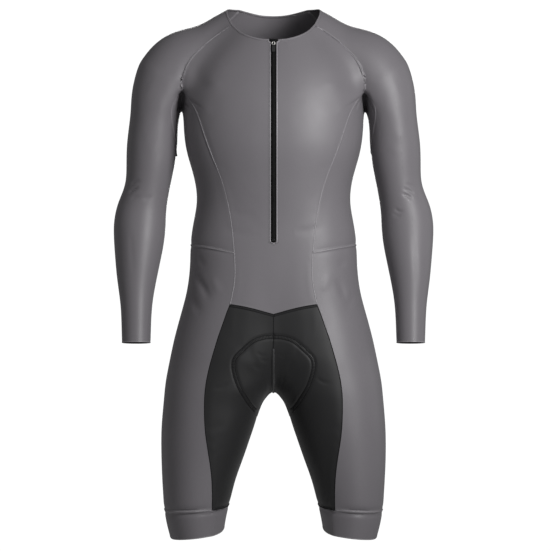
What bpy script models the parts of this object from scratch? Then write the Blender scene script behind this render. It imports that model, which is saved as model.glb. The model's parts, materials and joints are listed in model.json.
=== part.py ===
"""A long-sleeved cyclocross skinsuit in the shape it takes when worn, with nothing inside it.

Metres, +Z up. The front faces -Y and the wearer's left side is at +X. The origin is where
the wearer holds the suit: the middle of the neck opening, level with the two neck points
where the shoulders meet the neckline, so the cloth hangs below it.

The suit is cut from flat panels of stretch knit, and every panel here is a thin wall on one
smooth general figure. FIGURE tables give that figure in sections. SEAM tables give the lines
where the panels meet. Each panel is a grid between its seams, settled on the figure, and it
keeps half the seam gap clear along every edge.
"""

import math

import bmesh
import bpy
import numpy as np
from mathutils import Euler, Matrix, Vector

MM = 0.001

# Driving sizes, in metres.
CLOTH = 1.2 * MM
SEAM_GAP = 0.3 * MM
BAND_CLOTH = 1.7 * MM
BINDING_WIDTH = 3.4 * MM
BINDING_PROUD = 0.3 * MM
PAD_FOAM = 5 * MM
ZIP_SLOT_HALF = 5.1 * MM
ZIP_SLOT_TOP_HALF = 7.8 * MM
ZIP_SLOT_FLARE = 8 * MM
ZIP_END_DROP = 415 * MM
ZIP_END_ROUND = 5 * MM
ZIP_TAPE_HALF = 11.6 * MM
ZIP_TAPE_CLOTH = 0.8 * MM
ZIP_TAPE_TOP_DROP = 57.5 * MM
ZIP_TAPE_PAST_END = 8 * MM
ZIP_COIL_HALF = 2.0 * MM
ZIP_COIL_PROUD = 0.2 * MM
ZIP_COIL_TOP_DROP = 60.5 * MM
ZIP_STOP_DROP = 410 * MM
SLIDER_DROP = 63 * MM
ZIP_COIL_FALL = 0.4 * MM
ZIP_TAPE_MIDDLE = 7 * MM
GUSSET_TIP_SHARE = 0.93

# Driving sizes of the pull, in millimetres.
PULL_LENGTH = 19.5
PULL_RING = 2.6
PULL_WIRE = 0.6

# The least cosine between a point's normal and the cells round it that the wall allows for.
FOLD_LEAST_LEAN = 0.45

# The direction in which the two ends of a rim's edge are compared. No seam runs square to it.
SPLIT_ORDER = np.array([0.1, 0.4, 1.0])

# How many grid steps each seam is cut into. Panels that share a seam share its points.
RAGLAN_STEPS = 9
PRINCESS_STEPS = 14
HIP_STEPS = 5
LEG_STEPS = 15
YOKE_STEPS = 6
GUSSET_STEPS = 5
SLEEVE_STEPS = 14
ROUND_SLEEVE_STEPS = 16
ROUND_SIDE_STEPS = 10
ROUND_THIGH_STEPS = 14
BAND_STEPS = 2
PAD_ROWS = 9

# How square the ovals are (2 is an ellipse), and how softly the figure's parts run together.
TRUNK_SQUARE = 2.3
LEG_SQUARE = 2.1
ARM_SQUARE = 2.0
SHOULDER_SOFT = 28 * MM
ARMPIT_SOFT = 13 * MM
HIP_SOFT = 40 * MM
CROTCH_SOFT = 22 * MM
SEAT_SOFT = 70 * MM
TRUNK_FLOOR = 652 * MM
LEG_CEILING = 300 * MM
SOFT_FROM_DROP = 105 * MM
SOFT_TO_DROP = 170 * MM

# How far rays look for the cloth, in how many trials and halvings.
BODY_REACH = 320 * MM
LEG_REACH = 140 * MM
ARM_REACH = 80 * MM
RAY_TRIALS = 64
RAY_HALVINGS = 18

# How points are laid on the figure from in front or behind, and how they settle on it.
LAY_FROM = 200 * MM
LAY_ROUNDS = 60
LAY_SHARE = 0.8
SETTLE_LONGEST = 15 * MM
SETTLE_LEAST_SLOPE = 0.05
SLOPE_NUDGE = 0.2 * MM
NORMAL_NUDGE = 2.5 * MM

# How many points a line holds before it is cut into even steps.
SEAM_POINTS = 160
GUSSET_POINTS = 120
ROUND_POINTS = 80
FOLD_POINTS = 60

# The sharpest turn in an edge whose mitre is kept whole, as a cosine.
MITRE_LEAST = -0.6


def table(columns, *rows):
    """A table with named columns. Rows are in millimetres and are kept in metres."""
    return {name: np.array([row[i] for row in rows]) * MM for i, name in enumerate(columns.split())}


# FIGURE: trunk sections. drop is the depth below the neck points, front and back are the
# distances of the cloth from the mid-plane y = 0.
TRUNK = table(
    "drop half_width front back",
    (-70, 54, 52, 56),
    (-20, 56, 54, 62),
    (10, 62, 60, 72),
    (40, 82, 68, 84),
    (70, 112, 81, 93),
    (100, 139, 94, 99),
    (150, 157, 110, 105),
    (200, 158.5, 117, 106),
    (250, 153.5, 117, 104),
    (300, 140, 109, 96),
    (345, 135.5, 102, 89),
    (380, 141, 98, 86),
    (420, 145.5, 97, 88),
    (450, 145.5, 97, 94),
    (500, 149.5, 96, 103),
    (550, 160, 94, 110),
    (600, 168, 93, 113),
    (650, 175, 91, 110),
    (700, 175, 88, 104),
)

# FIGURE: leg sections. outer and inner are distances from the middle plane x = 0.
LEG = table(
    "drop outer inner front back",
    (330, 96, 10, 55, 50),
    (430, 118, 5, 70, 66),
    (520, 140, -2, 80, 90),
    (585, 165, -6, 90, 108),
    (620, 176, -5, 95, 114),
    (650, 187, -1, 97, 111),
    (674, 192, 5.5, 98, 106),
    (691, 193.5, 17, 97, 100),
    (726, 196.5, 30.5, 95, 91),
    (762, 198, 42.5, 92, 82),
    (797, 197.5, 54.7, 88, 74),
    (832, 196, 67, 84, 66),
    (868, 194, 76.5, 79, 58),
    (903, 189.5, 84.5, 73, 50),
    (925, 184, 87.5, 69, 45),
    (950, 178, 89, 65, 41),
)

# FIGURE: the arm from inside the neck, over the shoulder, to the wrist. x, y and drop place
# its axis. out is the radius away from the body, inn towards it.
ARM = table(
    "x y drop out inn front back",
    (14, 4, 0, 18, 18, 20, 20),
    (62, 4, 36, 39, 36, 36, 40),
    (112, 4, 74, 49, 44, 44, 50),
    (158, 5, 102, 61.5, 50, 52, 57),
    (190, 6, 142, 59.5, 44, 56, 58),
    (207, 7, 190, 46, 40.5, 54, 54),
    (214, 9, 240, 44.5, 44, 52, 53),
    (218, 11, 285, 42, 41, 49, 50),
    (225, 13, 325, 39.5, 40, 46, 47),
    (234, 12, 365, 45, 44.5, 46, 47),
    (237, 8, 400, 45, 45, 48, 47),
    (239, 0, 440, 40.5, 40.5, 45, 42),
    (241, -8, 480, 34.5, 34.5, 39, 36),
    (241.5, -16, 520, 28.5, 28.5, 33, 31),
    (241.5, -23, 560, 26, 26, 30, 29),
    (241.5, -28, 592, 25, 25, 29.5, 28.5),
)
ARM_READ_STEPS = 120
ARM_CHUNK = 4000

# Nothing of the arm lies below the first drop, nor nearer the middle than ARM_INNER below the
# second.
ARM_LAST_DROP = 640 * MM
ARM_INNER = 100 * MM
ARM_INNER_DROP = 150 * MM
FAR = 1.0

# SEAMS, for the wearer's left side. x is the distance from the middle plane.
NECKLINE_FRONT = table("x drop", (7.8, 60.8), (23, 59.5), (44, 54), (62, 45), (75, 32))
NECKLINE_SHOULDER = table(
    "x y drop", (75, -38, 32), (83, -22, 16), (84.5, -1, 5), (77, 20, 4), (62, 36.5, 5)
)
NECKLINE_BACK = table("x drop", (62, 5), (42, 10), (20, 14), (0, 15))
RAGLAN_FRONT = table(
    "x drop",
    *((75, 32), (93, 45), (112, 58), (131.5, 74), (146.5, 90), (156.5, 107)),
    *((160.5, 123), (161, 138), (159, 151)),
)
RAGLAN_BACK = table(
    "x drop",
    *((62, 5), (84, 26), (108, 47), (130, 69), (146.5, 89), (157, 107)),
    *((161.5, 124), (162, 139), (160, 151)),
)
PRINCESS = table(
    "x drop",
    *((159, 151), (146, 166), (136, 183), (125, 213), (112.5, 250), (100, 280)),
    *((88.5, 312), (80, 345), (74, 375), (70, 407), (68.7, 432)),
)
HIP = table("x drop", (68.7, 432), (66.5, 455), (67.5, 476), (70.5, 498), (76, 522))
YOKE = table("x drop", (0, 540), (14, 536), (40, 529), (76, 522))
LEG_SEAM = table(
    "x drop",
    *((76, 522), (86.5, 550), (98.5, 585), (108, 617), (116, 648), (121, 690)),
    *((120.5, 714), (117, 751), (112.5, 780), (109, 811), (107, 840), (107.5, 885)),
)
GUSSET = table("x drop", (159, 151), (168, 156), (177, 167), (179.5, 181), (179.5, 196), (176.5, 215))
GUSSET_TIP_DROP = 262 * MM
ARMPIT_INSIDE_DROP = 120 * MM
ARMPIT_SEARCH = 2 * MM
ARMPIT_ROUNDS = 14
WAIST_SIDE_RISE = 14 * MM

# The seat pad's upper edge, on the front and on the back.
PAD_FRONT = table(
    "x drop", (0, 576), (20, 577), (36, 581), (54, 597), (68, 612), (73, 632), (74, 645)
)
PAD_BACK = table("x drop", (0, 602), (30, 599), (58, 603), (78, 618), (84, 640), (85, 655))

# The keel is the line down the inside of the leg from the crotch. Its share of even steps,
# and the power that lengthens the other steps towards the band.
KEEL_EVEN = 0.35
KEEL_EASE = 2.6
CROTCH_INSIDE_DROP = 600 * MM

# The leg's centre line stands this far behind the mid-plane y = 0.
LEG_CENTRE_BACK = 4 * MM
BAND_ROUNDS = 6

# The grip band's two edges: how far down, how much lower in front, how much higher inside.
BAND_EDGES = table("drop front_dip inner_rise", (878.5, 7, 4.5), (922, 11, 8))


def spline(knots, values, at):
    """A natural cubic spline through the values at the knots, flat beyond its ends."""
    at = np.clip(at, knots[0], knots[-1])
    steps = np.diff(knots)
    slopes = np.diff(values) / steps
    size = len(knots)
    system = np.eye(size)
    pull = np.zeros(size)
    for i in range(1, size - 1):
        system[i, i - 1 : i + 2] = steps[i - 1], 2 * (steps[i - 1] + steps[i]), steps[i]
        pull[i] = 6 * (slopes[i] - slopes[i - 1])
    bend = np.linalg.solve(system, pull)
    i = np.clip(np.searchsorted(knots, at, side="right") - 1, 0, size - 2)
    h, left, right = steps[i], at - knots[i], knots[i + 1] - at
    return (
        (bend[i] * right**3 + bend[i + 1] * left**3) / (6 * h)
        + (values[i] / h - bend[i] * h / 6) * right
        + (values[i + 1] / h - bend[i + 1] * h / 6) * left
    )


def read(rows, key, at, *columns):
    """The named columns of a table, read at any value of its key column."""
    return [spline(rows[key], rows[name], at) for name in columns]


def oval(across, along, right, left, front, back, square):
    """Distance outside a four-sided oval, measured along the ray from its centre."""
    across = across + 1e-7
    width = np.where(across > 0, right, left)
    depth = np.where(along < 0, front, back)
    reach = (np.abs(across / width) ** square + np.abs(along / depth) ** square) ** (1 / square)
    away = np.hypot(across, along)
    return away - away / reach


def join(a, b, soft):
    """Two forms as one, with a fillet of about the given size where they meet."""
    near = np.clip(0.5 + 0.5 * (b - a) / soft, 0, 1)
    return b * (1 - near) + a * near - soft * near * (1 - near)


def trunk(p):
    half, front, back = read(TRUNK, "drop", -p[:, 2], "half_width", "front", "back")
    around = oval(p[:, 0], p[:, 1], half, half, front, back, TRUNK_SQUARE)
    below = -p[:, 2] - TRUNK_FLOOR
    return -join(-around, -below, SEAT_SOFT)


def leg(p, side):
    outer, inner, front, back = read(LEG, "drop", -p[:, 2], "outer", "inner", "front", "back")
    half = (outer - inner) / 2
    return oval(side * p[:, 0] - (outer + inner) / 2, p[:, 1], half, half, front, back, LEG_SQUARE)


def arm_line():
    """The arm's axis, its frame and its radii, read at even steps along it."""
    knots = np.stack([ARM["x"], ARM["y"], -ARM["drop"]], 1)
    along = np.concatenate([[0], np.cumsum(np.linalg.norm(np.diff(knots, axis=0), axis=1))])
    at = np.linspace(0, along[-1], ARM_READ_STEPS)
    points = np.stack([spline(along, knots[:, k], at) for k in range(3)], 1)
    way = np.gradient(points, axis=0)
    way /= np.linalg.norm(way, axis=1)[:, None]
    out = np.stack([-way[:, 2], np.zeros(len(at)), way[:, 0]], 1)
    out /= np.linalg.norm(out, axis=1)[:, None]
    radii = np.stack([spline(along, ARM[name], at) for name in ("out", "inn", "front", "back")], 1)
    return {"at": at, "points": points, "out": out, "behind": np.cross(out, way), "radii": radii}


ARM_LINE = arm_line()


def arm_place(at):
    """The axis point, the outward and backward directions and the radii at stations on the arm."""
    step = np.clip(at / ARM_LINE["at"][1], 0, ARM_READ_STEPS - 1.001)
    low = step.astype(int)
    share = (step - low)[:, None]
    return [
        ARM_LINE[name][low] * (1 - share) + ARM_LINE[name][low + 1] * share
        for name in ("points", "out", "behind", "radii")
    ]


def arm_station(p):
    """How far along the arm's axis the nearest point to each p lies."""
    points = ARM_LINE["points"]
    starts, ways = points[:-1], np.diff(points, axis=0)
    nearest = np.zeros(len(p), int)
    for begin in range(0, len(p), ARM_CHUNK):
        gaps = p[begin : begin + ARM_CHUNK, None, :] - points[None, :, :]
        nearest[begin : begin + ARM_CHUNK] = np.argmin((gaps**2).sum(2), 1)
    best_at, best = None, None
    for offset in (-1, 0):
        i = np.clip(nearest + offset, 0, len(starts) - 1)
        share = ((p - starts[i]) * ways[i]).sum(1) / (ways[i] ** 2).sum(1)
        share = np.clip(share, 0, 1)
        gap = ((p - starts[i] - share[:, None] * ways[i]) ** 2).sum(1)
        at = (i + share) * ARM_LINE["at"][1]
        better = np.ones(len(p), bool) if best is None else gap < best
        best_at = at if best is None else np.where(better, at, best_at)
        best = gap if best is None else np.where(better, gap, best)
    return best_at


def arm_chart(p):
    """Points as station along the arm, angle round it (0 outward, + to the back) and radius."""
    at = arm_station(p)
    centre, out, behind, _ = arm_place(at)
    gap = p - centre
    across, along = (gap * out).sum(1), (gap * behind).sum(1)
    return at, np.arctan2(along, across), np.hypot(across, along)


def arms(p):
    """Distance outside the nearer arm. Points far from both arms take a plain large value."""
    side = np.stack([np.abs(p[:, 0]), p[:, 1], p[:, 2]], 1)
    near = (side[:, 2] > -ARM_LAST_DROP) & ((side[:, 0] > ARM_INNER) | (side[:, 2] > -ARM_INNER_DROP))
    apart = np.full(len(p), FAR)
    if near.any():
        centre, out, behind, radii = arm_place(arm_station(side[near]))
        gap = side[near] - centre
        apart[near] = oval((gap * out).sum(1), (gap * behind).sum(1), *radii.T, ARM_SQUARE)
    return apart


def form(p):
    """The figure that the suit is cut for: below zero inside it, above zero outside."""
    legs = join(leg(p, 1), leg(p, -1), CROTCH_SOFT)
    legs = -join(-legs, -p[:, 2] - LEG_CEILING, SEAT_SOFT)
    body = join(trunk(p), legs, HIP_SOFT)
    down = np.clip((-p[:, 2] - SOFT_FROM_DROP) / (SOFT_TO_DROP - SOFT_FROM_DROP), 0, 1)
    soft = SHOULDER_SOFT + (ARMPIT_SOFT - SHOULDER_SOFT) * down * down * (3 - 2 * down)
    return join(body, arms(p), soft)


def slope(p, nudge=SLOPE_NUDGE):
    """The form's gradient, by central differences."""
    ways = np.eye(3) * nudge
    return np.stack([(form(p + w) - form(p - w)) / (2 * nudge) for w in ways], 1)


def normal(p):
    """Unit directions out of the form at each point, averaged over a few millimetres round it."""
    way = slope(p, NORMAL_NUDGE)
    return way / np.linalg.norm(way, axis=1)[:, None]


def settle(p, rounds=10):
    """Moves points onto the form by the shortest way."""
    p = np.array(p, float)
    for _ in range(rounds):
        way = slope(p)
        step = (form(p) / np.maximum((way**2).sum(1), SETTLE_LEAST_SLOPE))[:, None] * way
        far = np.maximum(np.linalg.norm(step, axis=1) / SETTLE_LONGEST, 1)[:, None]
        p -= step / far
    return p


def lay(x, z, face):
    """Points of the form seen at x, z from the front (face -1) or from behind (face 1)."""
    p = np.stack([x, np.full(len(x), face * LAY_FROM), z], 1)
    for _ in range(LAY_ROUNDS):
        p[:, 1] -= face * form(p) * LAY_SHARE
    return p


def ray(centre, way, reach=BODY_REACH):
    """The points where rays from inside first leave the form."""
    marks = np.linspace(0, reach, RAY_TRIALS + 1)
    near, far = np.zeros(len(centre)), np.full(len(centre), reach)
    found = np.zeros(len(centre), bool)
    for low, high in zip(marks, marks[1:]):
        out = form(centre + way * high) > 0
        hit = out & ~found
        near[hit], far[hit] = low, high
        found |= out
    for _ in range(RAY_HALVINGS):
        middle = (near + far) / 2
        out = form(centre + way * middle[:, None]) > 0
        far = np.where(out, middle, far)
        near = np.where(out, near, middle)
    return centre + way * ((near + far) / 2)[:, None]


def lengths(points):
    """Distances along a line of points, from its first."""
    return np.concatenate([[0], np.cumsum(np.linalg.norm(np.diff(points, axis=0), axis=1))])


def evenly(points, steps):
    """The same line cut into equal steps."""
    along = lengths(points)
    at = np.linspace(0, along[-1], steps + 1)
    return np.stack([np.interp(at, along, points[:, k]) for k in range(3)], 1)


def smooth_line(knots, count=SEAM_POINTS):
    """A spline through 3-D or 2-D knots."""
    along = lengths(knots)
    at = np.linspace(0, along[-1], count)
    return np.stack([spline(along, knots[:, k], at) for k in range(knots.shape[1])], 1)


def seam(rows, steps, face):
    """A seam drawn in the front view, laid on the form's front or back."""
    line = smooth_line(np.stack([rows["x"], -rows["drop"]], 1))
    return lay_again(evenly(lay(line[:, 0], line[:, 1], face), steps), face)


def lay_again(points, face):
    return lay(points[:, 0], points[:, 2], face)


def coons(left, right, top, bottom):
    """A grid between four edges: left and right run down, top and bottom from left to right."""
    v = np.linspace(0, 1, len(left))[:, None, None]
    u = np.linspace(0, 1, len(top))[None, :, None]
    across = (1 - u) * left[:, None] + u * right[:, None]
    down = (1 - v) * top[None] + v * bottom[None]
    upper = (1 - u) * top[0] + u * top[-1]
    lower = (1 - u) * bottom[0] + u * bottom[-1]
    return across + down - (1 - v) * upper - v * lower


def pinned(grid, left, right, top, bottom):
    """The grid with its edges put back exactly on the four seams."""
    grid[:, 0], grid[:, -1] = left, right
    grid[0], grid[-1] = top, bottom
    return grid


def flat_panel(left, right, top, bottom, face):
    """A panel that faces one way, so its grid is drawn in the front view and laid on the form."""
    grid = coons(left, right, top, bottom)
    flat = grid.reshape(-1, 3)
    laid = lay(flat[:, 0], flat[:, 2], face).reshape(grid.shape)
    return pinned(laid, left, right, top, bottom)


EDGE = {"left": np.s_[:, 0], "right": np.s_[:, -1], "top": np.s_[0], "bottom": np.s_[-1]}
BESIDE = {"left": np.s_[:, 1], "right": np.s_[:, -2], "top": np.s_[1], "bottom": np.s_[-2]}


def inwards(line, inside):
    """Moves of one step from an edge's points into its panel, with mitred corners."""
    ways = np.diff(line, axis=0)
    turns = []
    for way in (np.concatenate([ways[:1], ways]), np.concatenate([ways, ways[-1:]])):
        turn = np.cross(normal(line), way)
        turns.append(turn / np.maximum(np.linalg.norm(turn, axis=1), 1e-12)[:, None])
    before, after = turns
    mitre = 1 + np.maximum((before * after).sum(1), MITRE_LEAST)
    moves = (before + after) / mitre[:, None]
    middle = len(line) // 2
    return moves * np.sign(((inside[middle] - line[middle]) * moves[middle]).sum())


def trim(grid, edges):
    """Moves the named edges of a grid in by half the seam gap."""
    trimmed = grid.copy()
    for name in edges:
        trimmed[EDGE[name]] += inwards(grid[EDGE[name]], grid[BESIDE[name]]) * SEAM_GAP / 2
    return trimmed


def mirrored(grid):
    """The same grid on the wearer's right side, with its columns turned round."""
    return (grid * [-1, 1, 1])[:, ::-1]


# The seams, each made once and shared by the panels on its two sides.


def around_trunk(front_point, back_point, steps, rise):
    """The waist seam: from the front seam round the side to the back seam, higher at the side."""
    first, last = (math.atan2(point[1], point[0]) for point in (front_point, back_point))
    share = np.linspace(0, 1, ROUND_POINTS)
    turn = first + (last - first) * share
    z = front_point[2] * (1 - share) + back_point[2] * share + rise * np.sin(np.pi * share)
    way = np.stack([np.cos(turn), np.sin(turn), 0 * z], 1)
    line = ray(np.stack([0 * z, 0 * z, z], 1), way)
    line[0], line[-1] = front_point, back_point
    cut = evenly(line, steps)
    cut[1:-1] = settle(cut[1:-1])
    return cut


def leg_centre(z):
    """A line inside the hip and leg from which every outward ray meets the outer panel once."""
    outer, inner = read(LEG, "drop", -z, "outer", "inner")
    return np.stack([(outer + inner) / 2, np.full(len(z), LEG_CENTRE_BACK), z], 1)


def leg_turn(p):
    """The angle of points round the leg's centre line: 0 outward, + to the back."""
    gap = p - leg_centre(p[:, 2])
    return np.arctan2(gap[:, 1], gap[:, 0])


def leg_ring(turn, edge):
    """Points of a grip band edge at the given angles."""
    dip, rise = BAND_EDGES["front_dip"][edge], BAND_EDGES["inner_rise"][edge]
    z = -BAND_EDGES["drop"][edge] + dip * np.sin(turn) - rise * np.cos(turn)
    way = np.stack([np.cos(turn), np.sin(turn), np.zeros(len(turn))], 1)
    return ray(leg_centre(z), way, LEG_REACH)


def make_seams():
    s = {}
    for face, key in ((-1, "front"), (1, "back")):
        s["raglan_" + key] = seam(RAGLAN_FRONT if face < 0 else RAGLAN_BACK, RAGLAN_STEPS, face)
        s["princess_" + key] = seam(PRINCESS, PRINCESS_STEPS, face)
        s["hip_" + key] = seam(HIP, HIP_STEPS, face)
        s["yoke_" + key] = seam(YOKE, YOKE_STEPS, face)
        s["leg_" + key] = seam(LEG_SEAM, LEG_STEPS, face)
    s["neck_front"] = seam(NECKLINE_FRONT, YOKE_STEPS, -1)
    s["neck_back"] = seam(NECKLINE_BACK, YOKE_STEPS, 1)[::-1]
    over = NECKLINE_SHOULDER
    line = settle(smooth_line(np.stack([over["x"], over["y"], -over["drop"]], 1)))
    line[0], line[-1] = s["neck_front"][-1], s["neck_back"][-1]
    s["neck_shoulder"] = evenly(line, ROUND_SLEEVE_STEPS)
    s["neck_shoulder"][1:-1] = settle(s["neck_shoulder"][1:-1])
    close_joints(s)
    s["waist"] = around_trunk(s["hip_front"][0], s["hip_back"][0], ROUND_SIDE_STEPS, WAIST_SIDE_RISE)
    make_gusset(s)
    make_band(s)
    return s


def close_joints(s):
    """Makes the seams that meet in one point end in the very same point."""
    for key in ("front", "back"):
        s["raglan_" + key][0] = s["neck_" + key][-1]
        s["princess_" + key][0] = s["raglan_" + key][-1]
        s["hip_" + key][0] = s["princess_" + key][-1]
        s["yoke_" + key][-1] = s["hip_" + key][-1]
        s["leg_" + key][0] = s["hip_" + key][-1]


def armpit_fold(front, back):
    """The line across the armpit: the top of the gap between the sleeve and the trunk."""
    share = np.linspace(0, 1, FOLD_POINTS)
    inside = np.sin(np.pi * share)
    y = front[1] + (back[1] - front[1]) * share
    x = front[0] + (back[0] - front[0]) * share
    z = np.full(FOLD_POINTS, -ARMPIT_INSIDE_DROP)
    down = np.repeat([[0, 0, -1.0]], FOLD_POINTS, 0)
    for _ in range(ARMPIT_ROUNDS):
        line = ray(np.stack([x, y, z], 1), down, LEG_REACH)
        x = x + ARMPIT_SEARCH * inside * normal(line)[:, 0]
    line[0], line[-1] = front, back
    return line


def make_gusset(s):
    """The underarm: its seams down the sleeve's inner side and the fold across the armpit."""
    drops = -ARM_LINE["points"][:, 2]
    tip_at = np.interp(GUSSET_TIP_DROP, drops, ARM_LINE["at"])
    centre, out, _, radii = arm_place(np.array([tip_at]))
    tip = settle(centre - out * radii[:, 1:2])
    for face, key in ((-1, "front"), (1, "back")):
        line = smooth_line(np.stack([GUSSET["x"], -GUSSET["drop"]], 1), FOLD_POINTS)
        upper = lay(line[:, 0], line[:, 1], face)
        knots = np.concatenate([upper[:: FOLD_POINTS // 5], upper[-1:], tip])
        whole = settle(smooth_line(knots, GUSSET_POINTS))
        whole[0], whole[-1] = s["raglan_" + key][-1], tip[0]
        cut = evenly(whole, GUSSET_STEPS)
        cut[1:-1] = settle(cut[1:-1])
        s["gusset_" + key] = cut
    s["armpit"] = evenly(armpit_fold(s["gusset_front"][0], s["gusset_back"][0]), ROUND_SIDE_STEPS)
    stations = np.linspace(tip_at, ARM_LINE["at"][-1], SLEEVE_STEPS + 1)
    centre, out, _, _ = arm_place(stations)
    s["sleeve"] = ray(centre, -out, ARM_REACH)
    s["sleeve"][0] = tip[0]
    s["sleeve_stations"] = stations


def make_band(s):
    """The line where the leg panels end on the grip band, cut at the two leg seams."""
    ends = []
    for key in ("front", "back"):
        turn = leg_turn(s["leg_" + key][-1:])
        for _ in range(BAND_ROUNDS):
            point = leg_ring(turn, 0)
            turn = turn + (leg_turn(s["leg_" + key][-1:]) - leg_turn(point))
        ends.append(turn[0])
        s["leg_" + key][-1] = leg_ring(turn, 0)[0]
    front, back = ends
    s["band_turns_outer"] = np.linspace(front, back, ROUND_SIDE_STEPS + 1)
    s["band_turns_inner"] = np.linspace(front, back - 2 * math.pi, ROUND_THIGH_STEPS + 1)
    s["band_outer"] = leg_ring(s["band_turns_outer"], 0)
    s["band_inner"] = leg_ring(s["band_turns_inner"], 0)
    for name in ("band_outer", "band_inner"):
        s[name][0], s[name][-1] = s["leg_front"][-1], s["leg_back"][-1]


# The panels: each returns its grid for the wearer's left side.


def body_half(s, key, face, centre):
    """Half of the front or back panel, from the middle to the raglan, side and hip seams."""
    right = np.concatenate([s["raglan_" + key], s["princess_" + key][1:], s["hip_" + key][1:]])
    return flat_panel(centre, right, s["neck_" + key], s["yoke_" + key], face)


def centre_drops(top, bottom, marks):
    """Heights down the middle, in even steps between the marks."""
    total = RAGLAN_STEPS + PRINCESS_STEPS + HIP_STEPS
    stops = [top, *marks, bottom]
    spans = np.diff(stops)
    counts = np.maximum(np.round(spans / spans.sum() * total).astype(int), 1)
    counts[np.argmax(counts)] += total - counts.sum()
    parts = [np.linspace(a, b, n + 1)[:-1] for a, b, n in zip(stops, stops[1:], counts)]
    return np.concatenate([*parts, [bottom]])


def slot_half(drop):
    """Half the width of the zip's slot at each depth: flared at the neck, round at its end."""
    flare = np.clip(1 - (drop - NECKLINE_FRONT["drop"][0]) / ZIP_SLOT_FLARE, 0, 1)
    half = ZIP_SLOT_HALF + (ZIP_SLOT_TOP_HALF - ZIP_SLOT_HALF) * flare**2
    ending = np.clip((drop - ZIP_END_DROP) / ZIP_END_ROUND + 1, 0, 1)
    return half * np.sqrt(1 - ending**2)


def front_grid(s):
    top, bottom = -s["neck_front"][0, 2], -s["yoke_front"][0, 2]
    marks = [top + ZIP_SLOT_FLARE, *(ZIP_END_DROP - ZIP_END_ROUND * np.array([1, 1 / 3, 0]))]
    drops = centre_drops(top, bottom, marks)
    centre = lay(slot_half(drops), -drops, -1)
    s["neck_front"][0], s["yoke_front"][0] = centre[0], centre[-1]
    return body_half(s, "front", -1, centre)


def back_grid(s):
    drops = centre_drops(-s["neck_back"][0, 2], -s["yoke_back"][0, 2], [])
    centre = lay(np.zeros(len(drops)), -drops, 1)
    s["neck_back"][0], s["yoke_back"][0] = centre[0], centre[-1]
    return body_half(s, "back", 1, centre)


def side_grid(s):
    """The side panel, up the trunk from the waist, over the armpit and down inside the sleeve."""
    left, right = s["princess_front"][::-1], s["princess_back"][::-1]
    edges = (left, right, s["waist"], s["armpit"])
    chart = [np.stack([np.arctan2(line[:, 1], line[:, 0]), line[:, 2]], 1) for line in edges]
    turn, z = coons(*chart).reshape(-1, 2).T
    way = np.stack([np.cos(turn), np.sin(turn)], 1)
    half, front, back = read(TRUNK, "drop", -z, "half_width", "front", "back")
    depth = np.where(turn < 0, front, back)
    inverse = np.abs(way[:, 0] / half) ** TRUNK_SQUARE + np.abs(way[:, 1] / depth) ** TRUNK_SQUARE
    reach = inverse ** (-1 / TRUNK_SQUARE)
    guess = np.stack([way[:, 0] * reach, way[:, 1] * reach, z], 1)
    lower = settle(guess).reshape(len(left), len(s["waist"]), 3)
    lower = pinned(lower, left, right, s["waist"], s["armpit"])
    tip = np.repeat(s["gusset_front"][-1:], len(s["armpit"]), 0)
    upper = coons(s["gusset_front"], s["gusset_back"], s["armpit"], tip)
    upper = settle(upper.reshape(-1, 3)).reshape(upper.shape)
    upper = pinned(upper, s["gusset_front"], s["gusset_back"], s["armpit"], tip)
    return np.concatenate([lower, upper[1:]])


def blunt_tip(grid):
    """Ends the gusset's tip just short of the sleeve, in two corners."""
    tip = grid[-2] + (grid[-1] - grid[-2]) * GUSSET_TIP_SHARE
    half = len(tip) // 2 + 1
    grid[-1, :half], grid[-1, half:] = tip[0], tip[-1]


def outer_leg_grid(s):
    """The outer panel from the waist seam over the hip and down the outside of the leg."""
    left = np.concatenate([s["hip_front"], s["leg_front"][1:]])
    right = np.concatenate([s["hip_back"], s["leg_back"][1:]])
    edges = (left, right, s["waist"], s["band_outer"])
    chart = [np.stack([leg_turn(line), line[:, 2]], 1) for line in edges]
    turn, z = coons(*chart).reshape(-1, 2).T
    way = np.stack([np.cos(turn), np.sin(turn), np.zeros(len(z))], 1)
    grid = ray(leg_centre(z), way).reshape(len(left), len(s["waist"]), 3)
    return pinned(grid, left, right, s["waist"], s["band_outer"])


def keel_line(steps):
    """Points from the crotch down the inside of the leg to the band, in lengthening steps."""
    inside = np.array([[0, 0, -CROTCH_INSIDE_DROP]])
    crotch = ray(inside, np.array([[0, 0, -1.0]]), LEG_REACH)
    band = -BAND_EDGES["drop"][0] + BAND_EDGES["inner_rise"][0]
    z = np.linspace(crotch[0, 2] - 2 * MM, band, ROUND_POINTS)
    way = np.repeat([[-1.0, 0, 0]], len(z), 0)
    line = np.concatenate([crotch, ray(leg_centre(z), way, LEG_REACH)])
    share = np.linspace(0, 1, steps + 1)
    share = KEEL_EVEN * share + (1 - KEEL_EVEN) * share**KEEL_EASE
    along = lengths(line)
    return np.stack([np.interp(share * along[-1], along, line[:, k]) for k in range(3)], 1)


def ribs(front, back, keel, steps):
    """Rows round the inside of the leg, each from a front point past the keel to a back point."""
    turn = np.linspace(-0.5 * np.pi, 0.5 * np.pi, 4 * steps + 1)[None, :, None]
    middle = ((front + back) / 2)[:, None]
    half = ((back - front) / 2)[:, None]
    rows = middle + (keel[:, None] - middle) * np.cos(turn) + half * np.sin(turn)
    rows = settle(rows.reshape(-1, 3), 20).reshape(rows.shape)
    rows = np.stack([evenly(row, steps) for row in rows])
    return settle(rows.reshape(-1, 3)).reshape(rows.shape)


def inner_leg_grid(s):
    """The dark saddle and inner leg panel: its top edge is the middle seam, front to back."""
    left = np.concatenate([s["yoke_front"], s["leg_front"][1:]])
    right = np.concatenate([s["yoke_back"], s["leg_back"][1:]])
    grid = ribs(left, right, keel_line(len(left) - 1), ROUND_THIGH_STEPS)
    middle = grid[0] * [0, 1, 1]
    return pinned(grid, left, right, middle, s["band_inner"])


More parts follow.
